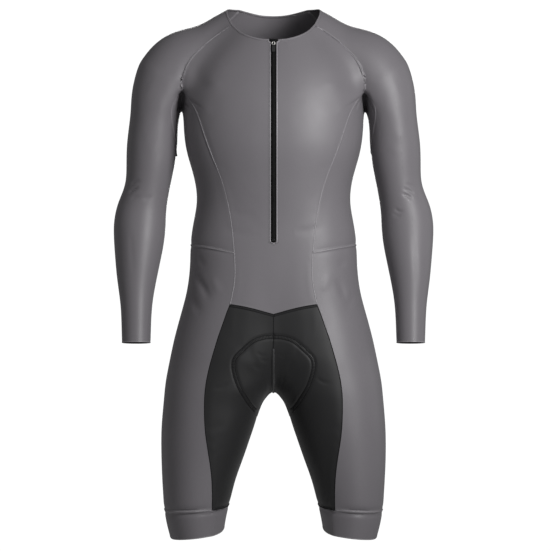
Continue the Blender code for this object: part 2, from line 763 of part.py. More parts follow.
def pad_grid(panel):
    """The seat pad, from the inner leg panel's own points: each row is cut off at the pad's edge."""
    rows = []
    for row in panel[: PAD_ROWS + 1]:
        half = len(row) // 2
        columns = np.arange(len(row), dtype=float)
        ends = []
        for part, edge in ((columns[: half + 1], PAD_FRONT), (columns[: half - 1 : -1], PAD_BACK)):
            x, z = (np.interp(part, columns, row[:, k]) for k in (0, 2))
            past = -z - np.interp(x, edge["x"], edge["drop"])
            first = np.argmax(past > 0)
            share = past[first - 1] / (past[first - 1] - past[first])
            ends.append(part[first - 1] + (part[first] - part[first - 1]) * share)
        at = np.clip(columns, *ends)
        rows.append(np.stack([np.interp(at, columns, row[:, k]) for k in range(3)], 1))
    return np.stack(rows)


def sleeve_grid(s):
    """The raglan sleeve, from the neckline over the shoulder to the cuff, open along its inside."""
    left = np.concatenate([s["raglan_front"], s["gusset_front"][1:], s["sleeve"][1:]])
    right = np.concatenate([s["raglan_back"], s["gusset_back"][1:], s["sleeve"][1:]])
    cuff_turn = np.linspace(-math.pi, math.pi, ROUND_SLEEVE_STEPS + 1)
    ends = np.full(len(cuff_turn), s["sleeve_stations"][-1])
    lines = []
    for line, sign in ((left, -1), (right, 1), (s["neck_shoulder"], 0)):
        at, turn, _ = arm_chart(line)
        if sign:
            turn = sign * np.abs(np.unwrap(turn))
        lines.append(np.stack([at, turn], 1))
    lines.append(np.stack([ends, cuff_turn], 1))
    rows = RAGLAN_STEPS + GUSSET_STEPS
    for line in lines[:2]:
        line[rows:, 0] = s["sleeve_stations"]
        line[rows:, 1] = math.pi * np.sign(line[1, 1])
    at, turn = coons(*lines).reshape(-1, 2).T
    centre, out, behind, radii = arm_place(at)
    way = out * np.cos(turn)[:, None] + behind * np.sin(turn)[:, None]
    width = np.where(np.cos(turn) > 0, radii[:, 0], radii[:, 1])
    depth = np.where(np.sin(turn) < 0, radii[:, 2], radii[:, 3])
    reach = ((np.cos(turn) / width) ** 2 + (np.sin(turn) / depth) ** 2) ** -0.5
    grid = settle(centre + way * reach[:, None]).reshape(len(left), len(cuff_turn), 3)
    return pinned(grid, left, right, s["neck_shoulder"], grid[-1])


def band_grid(s):
    """The grip band round the leg, as a closed ring."""
    turns = np.concatenate([s["band_turns_outer"], s["band_turns_inner"][::-1][1:] + 2 * math.pi])
    top, hem = leg_ring(turns, 0), leg_ring(turns, 1)
    share = np.linspace(0, 1, BAND_STEPS + 1)[:, None, None]
    grid = top[None] * (1 - share) + hem[None] * share
    inside = grid[1:-1].reshape(-1, 3)
    centre = leg_centre(inside[:, 2])
    way = (inside - centre) / np.linalg.norm(inside - centre, axis=1)[:, None]
    grid[1:-1] = ray(centre, way, LEG_REACH).reshape(grid[1:-1].shape)
    grid = trim(grid, ("top",))
    grid[:, -1] = grid[:, 0]
    return grid


def binding_grid(s):
    """Half of the neck binding, from the zip round the shoulder to the middle of the back."""
    line = np.concatenate([s["neck_front"], s["neck_shoulder"][1:], s["neck_back"][::-1][1:]])
    way = np.gradient(line, axis=0)
    up = np.cross(normal(line), way)
    up *= (np.sign(up[:, 2]) / np.linalg.norm(up, axis=1))[:, None]
    up[0] -= [up[0, 0], 0, 0]
    up[-1] -= [up[-1, 0], 0, 0]
    edge = settle(line + up * (SEAM_GAP / 2 + BINDING_WIDTH))
    return np.stack([edge, line + up * SEAM_GAP / 2])


def zip_tape_rings(panel):
    """Sections of the left zip tape, each a ring of points on and under the front panel's rows."""
    past = ZIP_END_DROP + ZIP_TAPE_PAST_END
    rows = [row for row in panel if -row[0, 2] < past]
    columns = np.linspace(0, 2 * ZIP_TAPE_HALF, 5)
    for drop in (ZIP_COIL_TOP_DROP, ZIP_TAPE_TOP_DROP):
        rows.insert(0, lay(columns, np.full(len(columns), -drop), -1))
    under = -CLOTH - SEAM_GAP
    rings = []
    for i, row in enumerate(rows):
        inner = ZIP_COIL_HALF if i < 2 else SEAM_GAP / 2
        coil = inner + ZIP_COIL_HALF - SEAM_GAP / 2
        proud = under if -row[0, 2] > ZIP_END_DROP - ZIP_END_ROUND / 2 else ZIP_COIL_PROUD
        over = [inner, coil, coil + ZIP_COIL_FALL, ZIP_TAPE_MIDDLE, ZIP_TAPE_HALF]
        x = np.array([*over, ZIP_TAPE_HALF, ZIP_TAPE_MIDDLE, inner])
        level = np.array([proud] * 2 + [under] * 3 + [under - ZIP_TAPE_CLOTH] * 3)
        on = np.stack([x, np.interp(x, row[:, 0], row[:, 1]), np.interp(x, row[:, 0], row[:, 2])], 1)
        rings.append(on + normal(on) * level[:, None])
    return np.stack(rings)


# Objects.


def material(name, colour, roughness, metallic=0.0):
    made = bpy.data.materials.new(name)
    made.use_nodes = True
    shader = made.node_tree.nodes["Principled BSDF"]
    shader.inputs["Base Color"].default_value = (*colour, 1)
    shader.inputs["Roughness"].default_value = roughness
    shader.inputs["Metallic"].default_value = metallic
    return made


def add(name, points, faces, finish, collection):
    """A new object from points and faces, shaded smooth but for its folds."""
    data = bpy.data.meshes.new(name)
    data.from_pydata([tuple(p) for p in points], [], faces)
    data.shade_smooth()
    data.set_sharp_from_angle(angle=math.radians(50))
    data.materials.append(finish)
    made = bpy.data.objects.new(name, data)
    collection.objects.link(made)
    return made


def joined_faces(grids):
    """Grids as one list of points and triangles, with the points that they share made one.

    Each cell is split along the diagonal that lies nearer the figure.
    """
    points, faces, known = [], [], {}

    def index(p):
        key = tuple(np.round(p / (0.01 * MM)).astype(int))
        if key not in known:
            known[key] = len(points)
            points.append(p)
        return known[key]

    for grid in grids:
        at = [[index(p) for p in row] for row in grid]
        falling = np.abs(form(((grid[:-1, :-1] + grid[1:, 1:]) / 2).reshape(-1, 3)))
        rising = np.abs(form(((grid[1:, :-1] + grid[:-1, 1:]) / 2).reshape(-1, 3)))
        falls = (falling < rising).reshape(len(at) - 1, len(at[0]) - 1)
        for i, j in np.ndindex(falls.shape):
            a, b, c, d = at[i][j], at[i + 1][j], at[i + 1][j + 1], at[i][j + 1]
            halves = ([a, b, c], [a, c, d]) if falls[i, j] else ([a, b, d], [b, c, d])
            faces += [half for half in halves if len(set(half)) == 3]
    return np.array(points), faces


def cloth(name, grids, finish, collection, outer=0.0, inner=-CLOTH):
    """A closed wall of cloth between two depths under the grids.

    Both skins follow the figure's own normals, so the walls on the two sides of a seam stay
    parallel. A thickness worked out from one panel alone would tilt its rim into the next. The
    rims on the two sides of a seam are also split the same way, by the order of their ends. In
    a sharp fold the inner skin goes deeper, so the wall there stays as thick.
    """
    points, faces = joined_faces(grids)
    out = normal(points)
    a, b, c = points[np.array(faces).T]
    if (np.cross(b - a, c - a) * out[[face[0] for face in faces]]).sum() < 0:
        faces = [face[::-1] for face in faces]
    flat = np.cross(b - a, c - a)
    flat /= np.linalg.norm(flat, axis=1)[:, None]
    lean, met = np.zeros(len(points)), np.zeros(len(points))
    for k in range(3):
        corner = [face[k] for face in faces]
        np.add.at(lean, corner, np.abs((out[corner] * flat).sum(1)))
        np.add.at(met, corner, 1)
    depth = (inner / np.clip(lean / met, FOLD_LEAST_LEAN, 1))[:, None]
    sides = [(face[k - 1], face[k]) for face in faces for k in range(len(face))]
    known = set(sides)
    rim = [side for side in sides if side[::-1] not in known]
    under = len(points)
    skins = faces + [[i + under for i in reversed(face)] for face in faces]
    lead = points @ SPLIT_ORDER
    walls = []
    for a, b in rim:
        if lead[a] < lead[b]:
            walls += [[b, a, a + under], [b, a + under, b + under]]
        else:
            walls += [[b, a, b + under], [a, a + under, b + under]]
    both = [*(points + out * outer), *(points + out * depth)]
    return add(name, both, skins + walls, finish, collection)


def loft(name, rings, finish, collection):
    """A closed solid with flat ends through rings of points.

    Seen from the last ring, the points run round clockwise.
    """
    count, around = rings.shape[:2]
    at = np.arange(count * around).reshape(count, around)
    faces = [
        [at[i, j], at[i + 1, j], at[i + 1, j - 1], at[i, j - 1]]
        for i, j in np.ndindex(count - 1, around)
    ]
    faces += [list(at[0][::-1]), list(at[-1])]
    faces = [[int(i) for i in face] for face in faces]
    return add(name, rings.reshape(-1, 3), faces, finish, collection)


def block(name, low, high, collection, soft=0.0):
    """A box between two corners, with its edges rounded by the soft size."""
    mesh = bmesh.new()
    bmesh.ops.create_cube(mesh, size=1)
    low, high = np.array(low) * MM, np.array(high) * MM
    for vert in mesh.verts:
        vert.co = low + (np.array(vert.co) + 0.5) * (high - low)
    data = bpy.data.meshes.new(name)
    mesh.to_mesh(data)
    mesh.free()
    made = bpy.data.objects.new(name, data)
    collection.objects.link(made)
    if soft:
        rounding = made.modifiers.new("rounding", "BEVEL")
        rounding.width = soft * MM
        rounding.segments = 2
    return made


def fuse(base, pieces, cutters):
    """Joins the pieces to the base with unions, and moves them among the cutters."""
    for piece in pieces:
        piece.location, piece.rotation_euler = base.location, base.rotation_euler
        for holder in list(piece.users_collection):
            holder.objects.unlink(piece)
        cutters.objects.link(piece)
        piece.hide_render = True
        piece.display_type = "WIRE"
        union = base.modifiers.new("with " + piece.name, "BOOLEAN")
        union.operation = "UNION"
        union.solver = "EXACT"
        union.object = piece


def place_on_zip(drop):
    """The point of the zip's middle line at a depth, and the chest's tilt there."""
    point = lay(np.zeros(1), np.array([-drop]), -1)
    out = normal(point)[0]
    return tuple(point[0]), math.atan2(-out[2], -out[1])


def zip_slider(finish, suit, cutters):
    """The slider: two plates round the tapes, a post between them and a bail for the pull.

    Its frame is x across, -y out of the chest and -z down the zip, in millimetres.
    """
    slider = block("zip_slider", (-4.3, -1.7, -4.5), (4.3, -0.5, 5.5), suit, 0.4)
    slider.data.materials.append(finish)
    slider.location, tilt = place_on_zip(SLIDER_DROP)
    slider.rotation_euler.x = tilt
    pieces = [
        block("back plate", (-4.3, 2.7, -4.5), (4.3, 3.8, 5.5), suit, 0.4),
        block("post", (-1.4, -0.7, 3.0), (1.4, 3.0, 5.2), suit),
        block("left lip", (3.3, -0.8, -4.2), (4.0, 1.1, 2.5), suit),
        block("right lip", (-4.0, -0.8, -4.2), (-3.3, 1.1, 2.5), suit),
        block("bail foot", (-0.8, -4.5, -2.85), (0.8, -1.3, -1.95), suit),
        block("bail head", (-0.8, -4.5, 2.3), (0.8, -1.3, 3.2), suit),
        block("bail bridge", (-0.7, -4.6, -2.75), (0.7, -3.7, 3.1), suit),
    ]
    fuse(slider, pieces, cutters)
    return slider


def zip_pull(slider, finish, suit, cutters):
    """The pull: a ring through the slider's bail, with a tab. Its origin is on its hinge axis."""
    pull = block("zip_pull", (-3.2, -0.8, -PULL_LENGTH), (3.2, 0.8, -5.0), suit, 0.5)
    pull.data.materials.append(finish)
    tilt = slider.rotation_euler.x
    bar = Vector((0, -2.7 * MM, -0.8 * MM))
    bar.rotate(Euler((tilt, 0, 0)))
    pull.location = slider.location + bar
    pull.rotation_euler.x = tilt
    bpy.ops.mesh.primitive_torus_add(
        major_radius=PULL_RING * MM, minor_radius=PULL_WIRE * MM, major_segments=20, minor_segments=8
    )
    ring = bpy.context.object
    ring.name = "pull ring"
    ring.data.transform(Matrix.Translation((0, 0, -PULL_RING * MM)) @ Matrix.Rotation(math.pi / 2, 4, "X"))
    fuse(pull, [ring], cutters)
    return pull


def build():
    for old in list(bpy.data.objects):
        bpy.data.objects.remove(old)
    suit = bpy.data.collections.new("skinsuit")
    cutters = bpy.data.collections.new("cutters")
    for made in (suit, cutters):
        bpy.context.scene.collection.children.link(made)
    grey = material("grey_satin_knit", (0.155, 0.15, 0.157), 0.45)
    black = material("black_matt_knit", (0.028, 0.028, 0.029), 0.75)
    foam = material("pad_fabric", (0.02, 0.02, 0.022), 0.85)
    tape = material("zip_tape", (0.008, 0.008, 0.008), 0.6)
    metal = material("black_nickel", (0.25, 0.25, 0.26), 0.3, 0.9)
    rubber = material("pull_rubber", (0.01, 0.01, 0.01), 0.5)

    s = make_seams()
    front, back = front_grid(s), back_grid(s)
    inner_leg = inner_leg_grid(s)
    binding = binding_grid(s)
    for name, grid in (("front", front), ("back", back)):
        middle = grid[:, 0, 0].copy()
        grid = trim(grid, ("right", "top", "bottom"))
        grid[:, 0, 0] = middle
        cloth(name, [grid, mirrored(grid)], grey, suit)
    pairs = {
        "side": (trim(side_grid(s), ("left", "right", "top")), grey, CLOTH),
        "outer_leg": (trim(outer_leg_grid(s), ("left", "right", "top", "bottom")), grey, CLOTH),
        "inner_leg": (trim(inner_leg, ("left", "right", "top", "bottom")), black, CLOTH),
        "sleeve": (trim(sleeve_grid(s), ("left", "right", "top")), grey, CLOTH),
        "leg_band": (band_grid(s), grey, BAND_CLOTH),
    }
    blunt_tip(pairs["side"][0])
    for name, (grid, finish, wall) in pairs.items():
        cloth(name + "_left", [grid], finish, suit, inner=-wall)
        cloth(name + "_right", [mirrored(grid)], finish, suit, inner=-wall)
    cloth("neck_binding", [binding, mirrored(binding)], grey, suit, BINDING_PROUD)
    pad = pad_grid(inner_leg)
    top = -CLOTH - SEAM_GAP
    cloth("seat_pad", [pad, mirrored(pad)], foam, suit, top, top - PAD_FOAM)

    rings = zip_tape_rings(front)
    loft("zip_tape_left", rings[:, ::-1], tape, suit)
    loft("zip_tape_right", rings * [-1, 1, 1], tape, suit)
    stop = block("zip_stop", (-2.6, -1.5, -1.5), (2.6, -0.5, 1.5), suit, 0.3)
    stop.data.materials.append(metal)
    stop.location, stop.rotation_euler.x = place_on_zip(ZIP_STOP_DROP)
    slider = zip_slider(metal, suit, cutters)
    zip_pull(slider, rubber, suit, cutters)


build()
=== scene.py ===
"""A long-sleeved cyclocross skinsuit in its worn shape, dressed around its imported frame.

Metres, +Z up. The front faces -Y and the wearer's left side is at +X. The origin is the
middle of the neck opening, at the height of the highest points of the shoulders.
"""

import json
import math

import bmesh
import bpy
import numpy as np
from mathutils import Matrix, Vector, noise
from mathutils.bvhtree import BVHTree

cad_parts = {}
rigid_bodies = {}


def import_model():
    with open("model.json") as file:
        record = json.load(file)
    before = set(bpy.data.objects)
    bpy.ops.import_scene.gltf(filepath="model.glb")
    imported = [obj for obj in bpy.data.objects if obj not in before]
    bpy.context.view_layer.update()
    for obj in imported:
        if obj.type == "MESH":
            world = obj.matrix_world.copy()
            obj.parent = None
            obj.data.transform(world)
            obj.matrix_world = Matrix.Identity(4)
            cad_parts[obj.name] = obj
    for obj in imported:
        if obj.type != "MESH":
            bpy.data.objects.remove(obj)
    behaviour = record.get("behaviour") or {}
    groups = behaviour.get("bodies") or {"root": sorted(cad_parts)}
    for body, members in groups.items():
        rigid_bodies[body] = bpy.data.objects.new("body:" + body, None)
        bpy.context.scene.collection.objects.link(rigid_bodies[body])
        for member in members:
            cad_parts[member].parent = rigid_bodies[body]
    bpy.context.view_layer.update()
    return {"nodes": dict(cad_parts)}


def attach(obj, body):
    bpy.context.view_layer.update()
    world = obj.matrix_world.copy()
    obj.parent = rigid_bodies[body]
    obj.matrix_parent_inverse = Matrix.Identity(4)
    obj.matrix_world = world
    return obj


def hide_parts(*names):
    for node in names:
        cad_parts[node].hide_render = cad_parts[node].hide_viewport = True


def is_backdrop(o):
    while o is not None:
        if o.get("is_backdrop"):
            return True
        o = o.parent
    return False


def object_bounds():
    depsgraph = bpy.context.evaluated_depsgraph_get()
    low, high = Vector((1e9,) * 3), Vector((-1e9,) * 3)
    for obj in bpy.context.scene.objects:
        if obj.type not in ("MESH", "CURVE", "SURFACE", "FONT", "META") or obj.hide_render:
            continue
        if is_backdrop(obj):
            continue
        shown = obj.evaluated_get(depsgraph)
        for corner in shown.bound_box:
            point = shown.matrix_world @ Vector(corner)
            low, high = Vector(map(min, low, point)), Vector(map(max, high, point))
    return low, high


MM = 0.001

for startup in list(bpy.data.objects):
    bpy.data.objects.remove(startup)
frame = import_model()
nodes = frame["nodes"]

# --------------------------------------------------------------------------------------
# The studio. The suit hangs above a pale floor, in the light of one large softbox at the
# image's right. A weak one stands at the left, a strip behind the shoulder at the right,
# and one more behind the suit, for its back.
FLOOR_Z = -1.44
bpy.ops.object.select_all(action="DESELECT")
bpy.ops.mesh.primitive_circle_add(vertices=96, radius=3.2, fill_type="NGON", location=(0, 0, 0))
floor = bpy.context.object
floor.name = "floor"
floor.data.transform(Matrix.Translation((0, 0, FLOOR_Z)))
floor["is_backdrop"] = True


def linear(code):
    """An sRGB hex value such as 0x808080 as linear red, green, blue and alpha."""
    parts = [(code >> shift & 255) / 255 for shift in (16, 8, 0)]
    return (*(c / 12.92 if c <= 0.04045 else ((c + 0.055) / 1.055) ** 2.4 for c in parts), 1)


def add_node(material, kind, inputs=(), **settings):
    """Adds a node with its settings. An input is a value or the output that feeds it."""
    tree = material.node_tree
    made = tree.nodes.new(kind)
    for name, value in settings.items():
        setattr(made, name, value)
    for name, value in dict(inputs).items():
        if isinstance(value, bpy.types.NodeSocket):
            tree.links.new(value, made.inputs[name])
        else:
            made.inputs[name].default_value = value
    return made


def new_material(name):
    made = bpy.data.materials.new(name)
    made.use_nodes = True
    made.node_tree.nodes.clear()
    return made


def surface(material, **inputs):
    """The material's shader and output. Underscores in the input names stand for spaces."""
    named = {key.replace("_", " "): value for key, value in inputs.items()}
    shader = add_node(material, "ShaderNodeBsdfPrincipled", named)
    add_node(material, "ShaderNodeOutputMaterial", {"Surface": shader.outputs["BSDF"]})


# Matt white studio paint, a little uneven.
paint = new_material("studio_floor_paint")
place = add_node(paint, "ShaderNodeTexCoord").outputs["Object"]
cloud = add_node(paint, "ShaderNodeTexNoise", {"Vector": place, "Scale": 1.5, "Detail": 3.0})
tone = add_node(
    paint,
    "ShaderNodeMix",
    {"Factor": cloud.outputs["Fac"], "A": linear(0xE9E9E9), "B": linear(0xF2F2F2)},
    data_type="RGBA",
)
surface(paint, Base_Color=tone.outputs[2], Roughness=0.9)
floor.data.materials.append(paint)

world = bpy.data.worlds.new("room")
bpy.context.scene.world = world
world.use_nodes = True
world.node_tree.nodes.clear()
ROOM_LIGHT = 0.17
SEEN_WHITE = 1.05
seen = add_node(world, "ShaderNodeLightPath").outputs["Is Camera Ray"]
room = add_node(world, "ShaderNodeMix", {"Factor": seen, "A": ROOM_LIGHT, "B": SEEN_WHITE})
glow = add_node(world, "ShaderNodeBackground", {"Color": (1, 1, 1, 1), "Strength": room.outputs[0]})
add_node(world, "ShaderNodeOutputWorld", {"Surface": glow.outputs[0]})

# Softboxes: bearing from the camera's side, height, distance, width, length, watts and the
# angle of the grid in front, which keeps the light on the chest and off the legs.
SOFTBOXES = (
    ("key", 36, 0.2, 2.2, 0.8, 1.0, 7.6, 66),
    ("fill", -34, 1.1, 3.0, 1.4, 1.4, 1.9, 100),
    ("rim", 112, 0.0, 2.4, 0.5, 1.6, 1.1, 120),
    ("behind", 180, 0.3, 2.6, 0.9, 1.5, 7.0, 80),
)
CHEST = Vector((0, 0, -0.27))
for name, bearing, height, distance, width, length, watts, grid in SOFTBOXES:
    data = bpy.data.lights.new(name, "AREA")
    data.shape, data.size, data.size_y, data.energy = "RECTANGLE", width, length, watts
    data.spread = math.radians(grid)
    box = bpy.data.objects.new(name, data)
    bpy.context.scene.collection.objects.link(box)
    turn = math.radians(bearing)
    box.location = (distance * math.sin(turn), -distance * math.cos(turn), height)
    box.rotation_mode = "QUATERNION"
    box.rotation_quaternion = (CHEST - box.location).to_track_quat("-Z", "Y")

# The camera looks straight at the front, level with the suit's middle.
CAMERA_DISTANCE = 12
VIEW_WIDTH = 0.9717
VIEW_CENTRE = (0.0035, -0.4718)
camera = bpy.data.objects.new("camera", bpy.data.cameras.new("camera"))
bpy.context.scene.collection.objects.link(camera)
camera.location = (VIEW_CENTRE[0], -CAMERA_DISTANCE, VIEW_CENTRE[1])
camera.rotation_euler = (math.pi / 2, 0, 0)
camera.data.lens = CAMERA_DISTANCE * camera.data.sensor_width / VIEW_WIDTH
bpy.context.scene.camera = camera
bpy.context.scene.view_settings.view_transform = "Standard"

# --------------------------------------------------------------------------------------
# The knits. The grey one is a warp knit of nylon and elastane, dyed and calendered, so its
# face is satin. The black one is brushed and matt. Both are stretched over the figure,
# which flattens their wales and gives soft, long lights.
GRAIN_ACROSS = 0.9 * MM
GRAIN_ALONG = 2.2 * MM
PATCH = 45 * MM


def knit(name, light, dark, roughness, sheen, grain_depth, gloss):
    """A stretch knit. Its real wales, 0.4 mm apart, are drawn 0.9 mm apart so that they show."""
    made = new_material(name)
    place = add_node(made, "ShaderNodeTexCoord").outputs["Object"]
    drawn = add_node(
        made,
        "ShaderNodeMapping",
        {"Vector": place, "Scale": (1 / GRAIN_ACROSS, 1 / GRAIN_ACROSS, 1 / GRAIN_ALONG)},
    ).outputs[0]
    grain = add_node(made, "ShaderNodeTexNoise", {"Vector": drawn, "Scale": 1.0, "Detail": 2.0})
    cloud = add_node(
        made, "ShaderNodeTexNoise", {"Vector": place, "Scale": 1 / PATCH, "Detail": 3.0}
    )
    both = add_node(
        made,
        "ShaderNodeMix",
        {"Factor": 0.35, "A": grain.outputs["Fac"], "B": cloud.outputs["Fac"]},
    )
    tone = add_node(
        made,
        "ShaderNodeMix",
        {"Factor": both.outputs[0], "A": linear(dark), "B": linear(light)},
        data_type="RGBA",
    )
    # The calendered face is glossier where the cloth is stretched tighter; here the gloss varies
    # in soft patches, with the same cloud as the tone.
    shine = add_node(
        made,
        "ShaderNodeMapRange",
        {"Value": cloud.outputs["Fac"], "To Min": roughness + 0.04, "To Max": roughness - 0.04},
    )
    bump = add_node(
        made,
        "ShaderNodeBump",
        {"Height": grain.outputs["Fac"], "Strength": 0.5, "Distance": grain_depth},
    )
    surface(
        made,
        Base_Color=tone.outputs[2],
        Roughness=shine.outputs[0],
        Specular_IOR_Level=gloss,
        Sheen_Weight=sheen,
        Sheen_Roughness=0.45,
        Normal=bump.outputs[0],
    )
    return made


grey_knit = knit("grey_satin_warp_knit", 0x747175, 0x6A676B, 0.48, 0.06, 0.05 * MM, 0.4)
black_knit = knit("black_brushed_warp_knit", 0x212122, 0x1A1A1B, 0.56, 0.12, 0.12 * MM, 0.36)

# --------------------------------------------------------------------------------------
# The figure. The panels are sewn edge to edge, so the light runs on from one to the next.
# The outer sides of their solids are joined along the seams into one figure, rounded
# between the solids' points, and creased. Only then are the panels parted again.
PANELS = (
    *("front", "back", "side_left", "side_right", "sleeve_left", "sleeve_right"),
    *("outer_leg_left", "outer_leg_right", "inner_leg_left", "inner_leg_right"),
    *("leg_band_left", "leg_band_right"),
)
ROUNDING = 3
SEAM_REACH = 0.6 * MM
WELD = 0.002 * MM
# A panel's solid turns by more than this at its rim, and its rim is narrower than this.
RIM_TURN = math.radians(50)
RIM_WIDTH = 2.2 * MM
# The arms are outside of this and above this, the legs below, and the chest ends here.
ARMS_FROM_X, ARMS_END_Z = 0.165, -0.63
LEGS_TOP_Z, LEG_MIDDLE_X = -0.66, 0.125
CHEST_TOP_Z = -0.13


def heart(point):
    """A point inside the figure near the given one, on the middle line of arm, leg or body."""
    side = math.copysign(1, point.x)
    if abs(point.x) > ARMS_FROM_X and point.z > ARMS_END_Z:
        # The arms lean outwards as they go down, and below the elbow they lean forwards.
        down = min(max((-point.z - 0.14) / 0.3, 0), 1)
        back = 0.01 - 0.04 * min(max((-point.z - 0.35) / 0.25, 0), 1)
        return Vector((side * (0.19 + 0.05 * down), back, point.z))
    if point.z < LEGS_TOP_Z:
        return Vector((side * LEG_MIDDLE_X, 0, point.z))
    if point.z > CHEST_TOP_Z:
        return Vector((0.6 * point.x, 0, CHEST_TOP_Z))
    return Vector((0, 0, point.z))


def outer_side(node):
    """The points and faces of the outer side of a panel's solid."""
    mesh = bmesh.new()
    mesh.from_mesh(nodes[node].data)
    bmesh.ops.remove_doubles(mesh, verts=mesh.verts, dist=WELD)
    left = set(mesh.faces)
    kept = []
    while left:
        region = [left.pop()]
        for face in region:
            for edge in face.edges:
                if edge.calc_face_angle(math.pi) < RIM_TURN:
                    fresh = [other for other in edge.link_faces if other in left]
                    left.difference_update(fresh)
                    region.extend(fresh)
        area = sum(face.calc_area() for face in region)
        inside = set(region)
        edges = {edge for face in region for edge in face.edges}
        around = sum(e.calc_length() for e in edges if len(inside.intersection(e.link_faces)) == 1)
        centres = [(face, face.calc_center_median()) for face in region]
        out = sum((c - heart(c)).normalized().dot(f.normal) * f.calc_area() for f, c in centres)
        if 2 * area / around > RIM_WIDTH and out > 0:
            kept.extend(region)
    kept.sort(key=lambda face: face.index)
    points = {}
    faces = [[points.setdefault(vert, len(points)) for vert in face.verts] for face in kept]
    places = [tuple(vert.co) for vert in points]
    mesh.free()
    return places, faces


points, faces, owners = [], [], []
for index, node in enumerate(PANELS):
    some, cells = outer_side(node)
    faces += [[i + len(points) for i in cell] for cell in cells]
    owners += [index] * len(cells)
    points += some
data = bpy.data.meshes.new("figure")
data.from_pydata(points, [], faces)
figure = bpy.data.objects.new("figure", data)
bpy.context.scene.collection.objects.link(figure)
for node in PANELS:
    data.materials.append(bpy.data.materials.new("cut_" + node))
data.polygons.foreach_set("material_index", owners)
mesh = bmesh.new()
mesh.from_mesh(data)
bmesh.ops.remove_doubles(mesh, verts=mesh.verts, dist=SEAM_REACH)
bmesh.ops.holes_fill(mesh, edges=[e for e in mesh.edges if e.is_boundary], sides=5)
bmesh.ops.recalc_face_normals(mesh, faces=mesh.faces)
bmesh.ops.join_triangles(
    mesh,
    faces=mesh.faces,
    cmp_materials=True,
    angle_face_threshold=math.radians(60),
    angle_shape_threshold=math.radians(80),
)
mesh.to_mesh(data)
mesh.free()


def read_points(data, kind="co"):
    flat = np.zeros(len(data.vertices) * 3)
    source = data.vertices if kind == "co" else data.vertex_normals
    source.foreach_get("co" if kind == "co" else "vector", flat)
    return flat.reshape(-1, 3)


def write_points(data, places):
    data.vertices.foreach_set("co", places.ravel())
    data.update()


# The rounding is fitted so that the smooth cloth passes through the solids' own points.
FIT_ROUNDS = 4
FIT_SHARE = 0.9
rounder = figure.modifiers.new("rounding", "SUBSURF")
rounder.levels = rounder.render_levels = 1
target = read_points(data)
for _ in range(FIT_ROUNDS):
    bpy.context.view_layer.update()
    smooth = figure.evaluated_get(bpy.context.evaluated_depsgraph_get())
    reached = read_points(smooth.data)[: len(target)]
    write_points(data, read_points(data) + (target - reached) * FIT_SHARE)
rounder.levels = rounder.render_levels = ROUNDING


def select_only(piece):
    bpy.ops.object.select_all(action="DESELECT")
    piece.select_set(True)
    bpy.context.view_layer.objects.active = piece


select_only(figure)
bpy.ops.object.modifier_apply(modifier="rounding")

# The mesh is twice as fine at the armpits and the pad, where folds and stitches are close.
FINE_SPOTS = ((-0.161, -0.172, 0.036), (0.161, -0.172, 0.036), (0, -0.645, 0.088))
FINE_BEFORE_Y = 0.02
mesh = bmesh.new()
mesh.from_mesh(figure.data)
close = set()
for x, z, reach in FINE_SPOTS:
    for vert in mesh.verts:
        if math.hypot(vert.co.x - x, vert.co.z - z) < reach and vert.co.y < FINE_BEFORE_Y:
            close.update(vert.link_edges)
close = sorted(close, key=lambda edge: edge.index)
bmesh.ops.subdivide_edges(mesh, edges=close, cuts=1, use_grid_fill=True)
mesh.to_mesh(figure.data)
mesh.free()
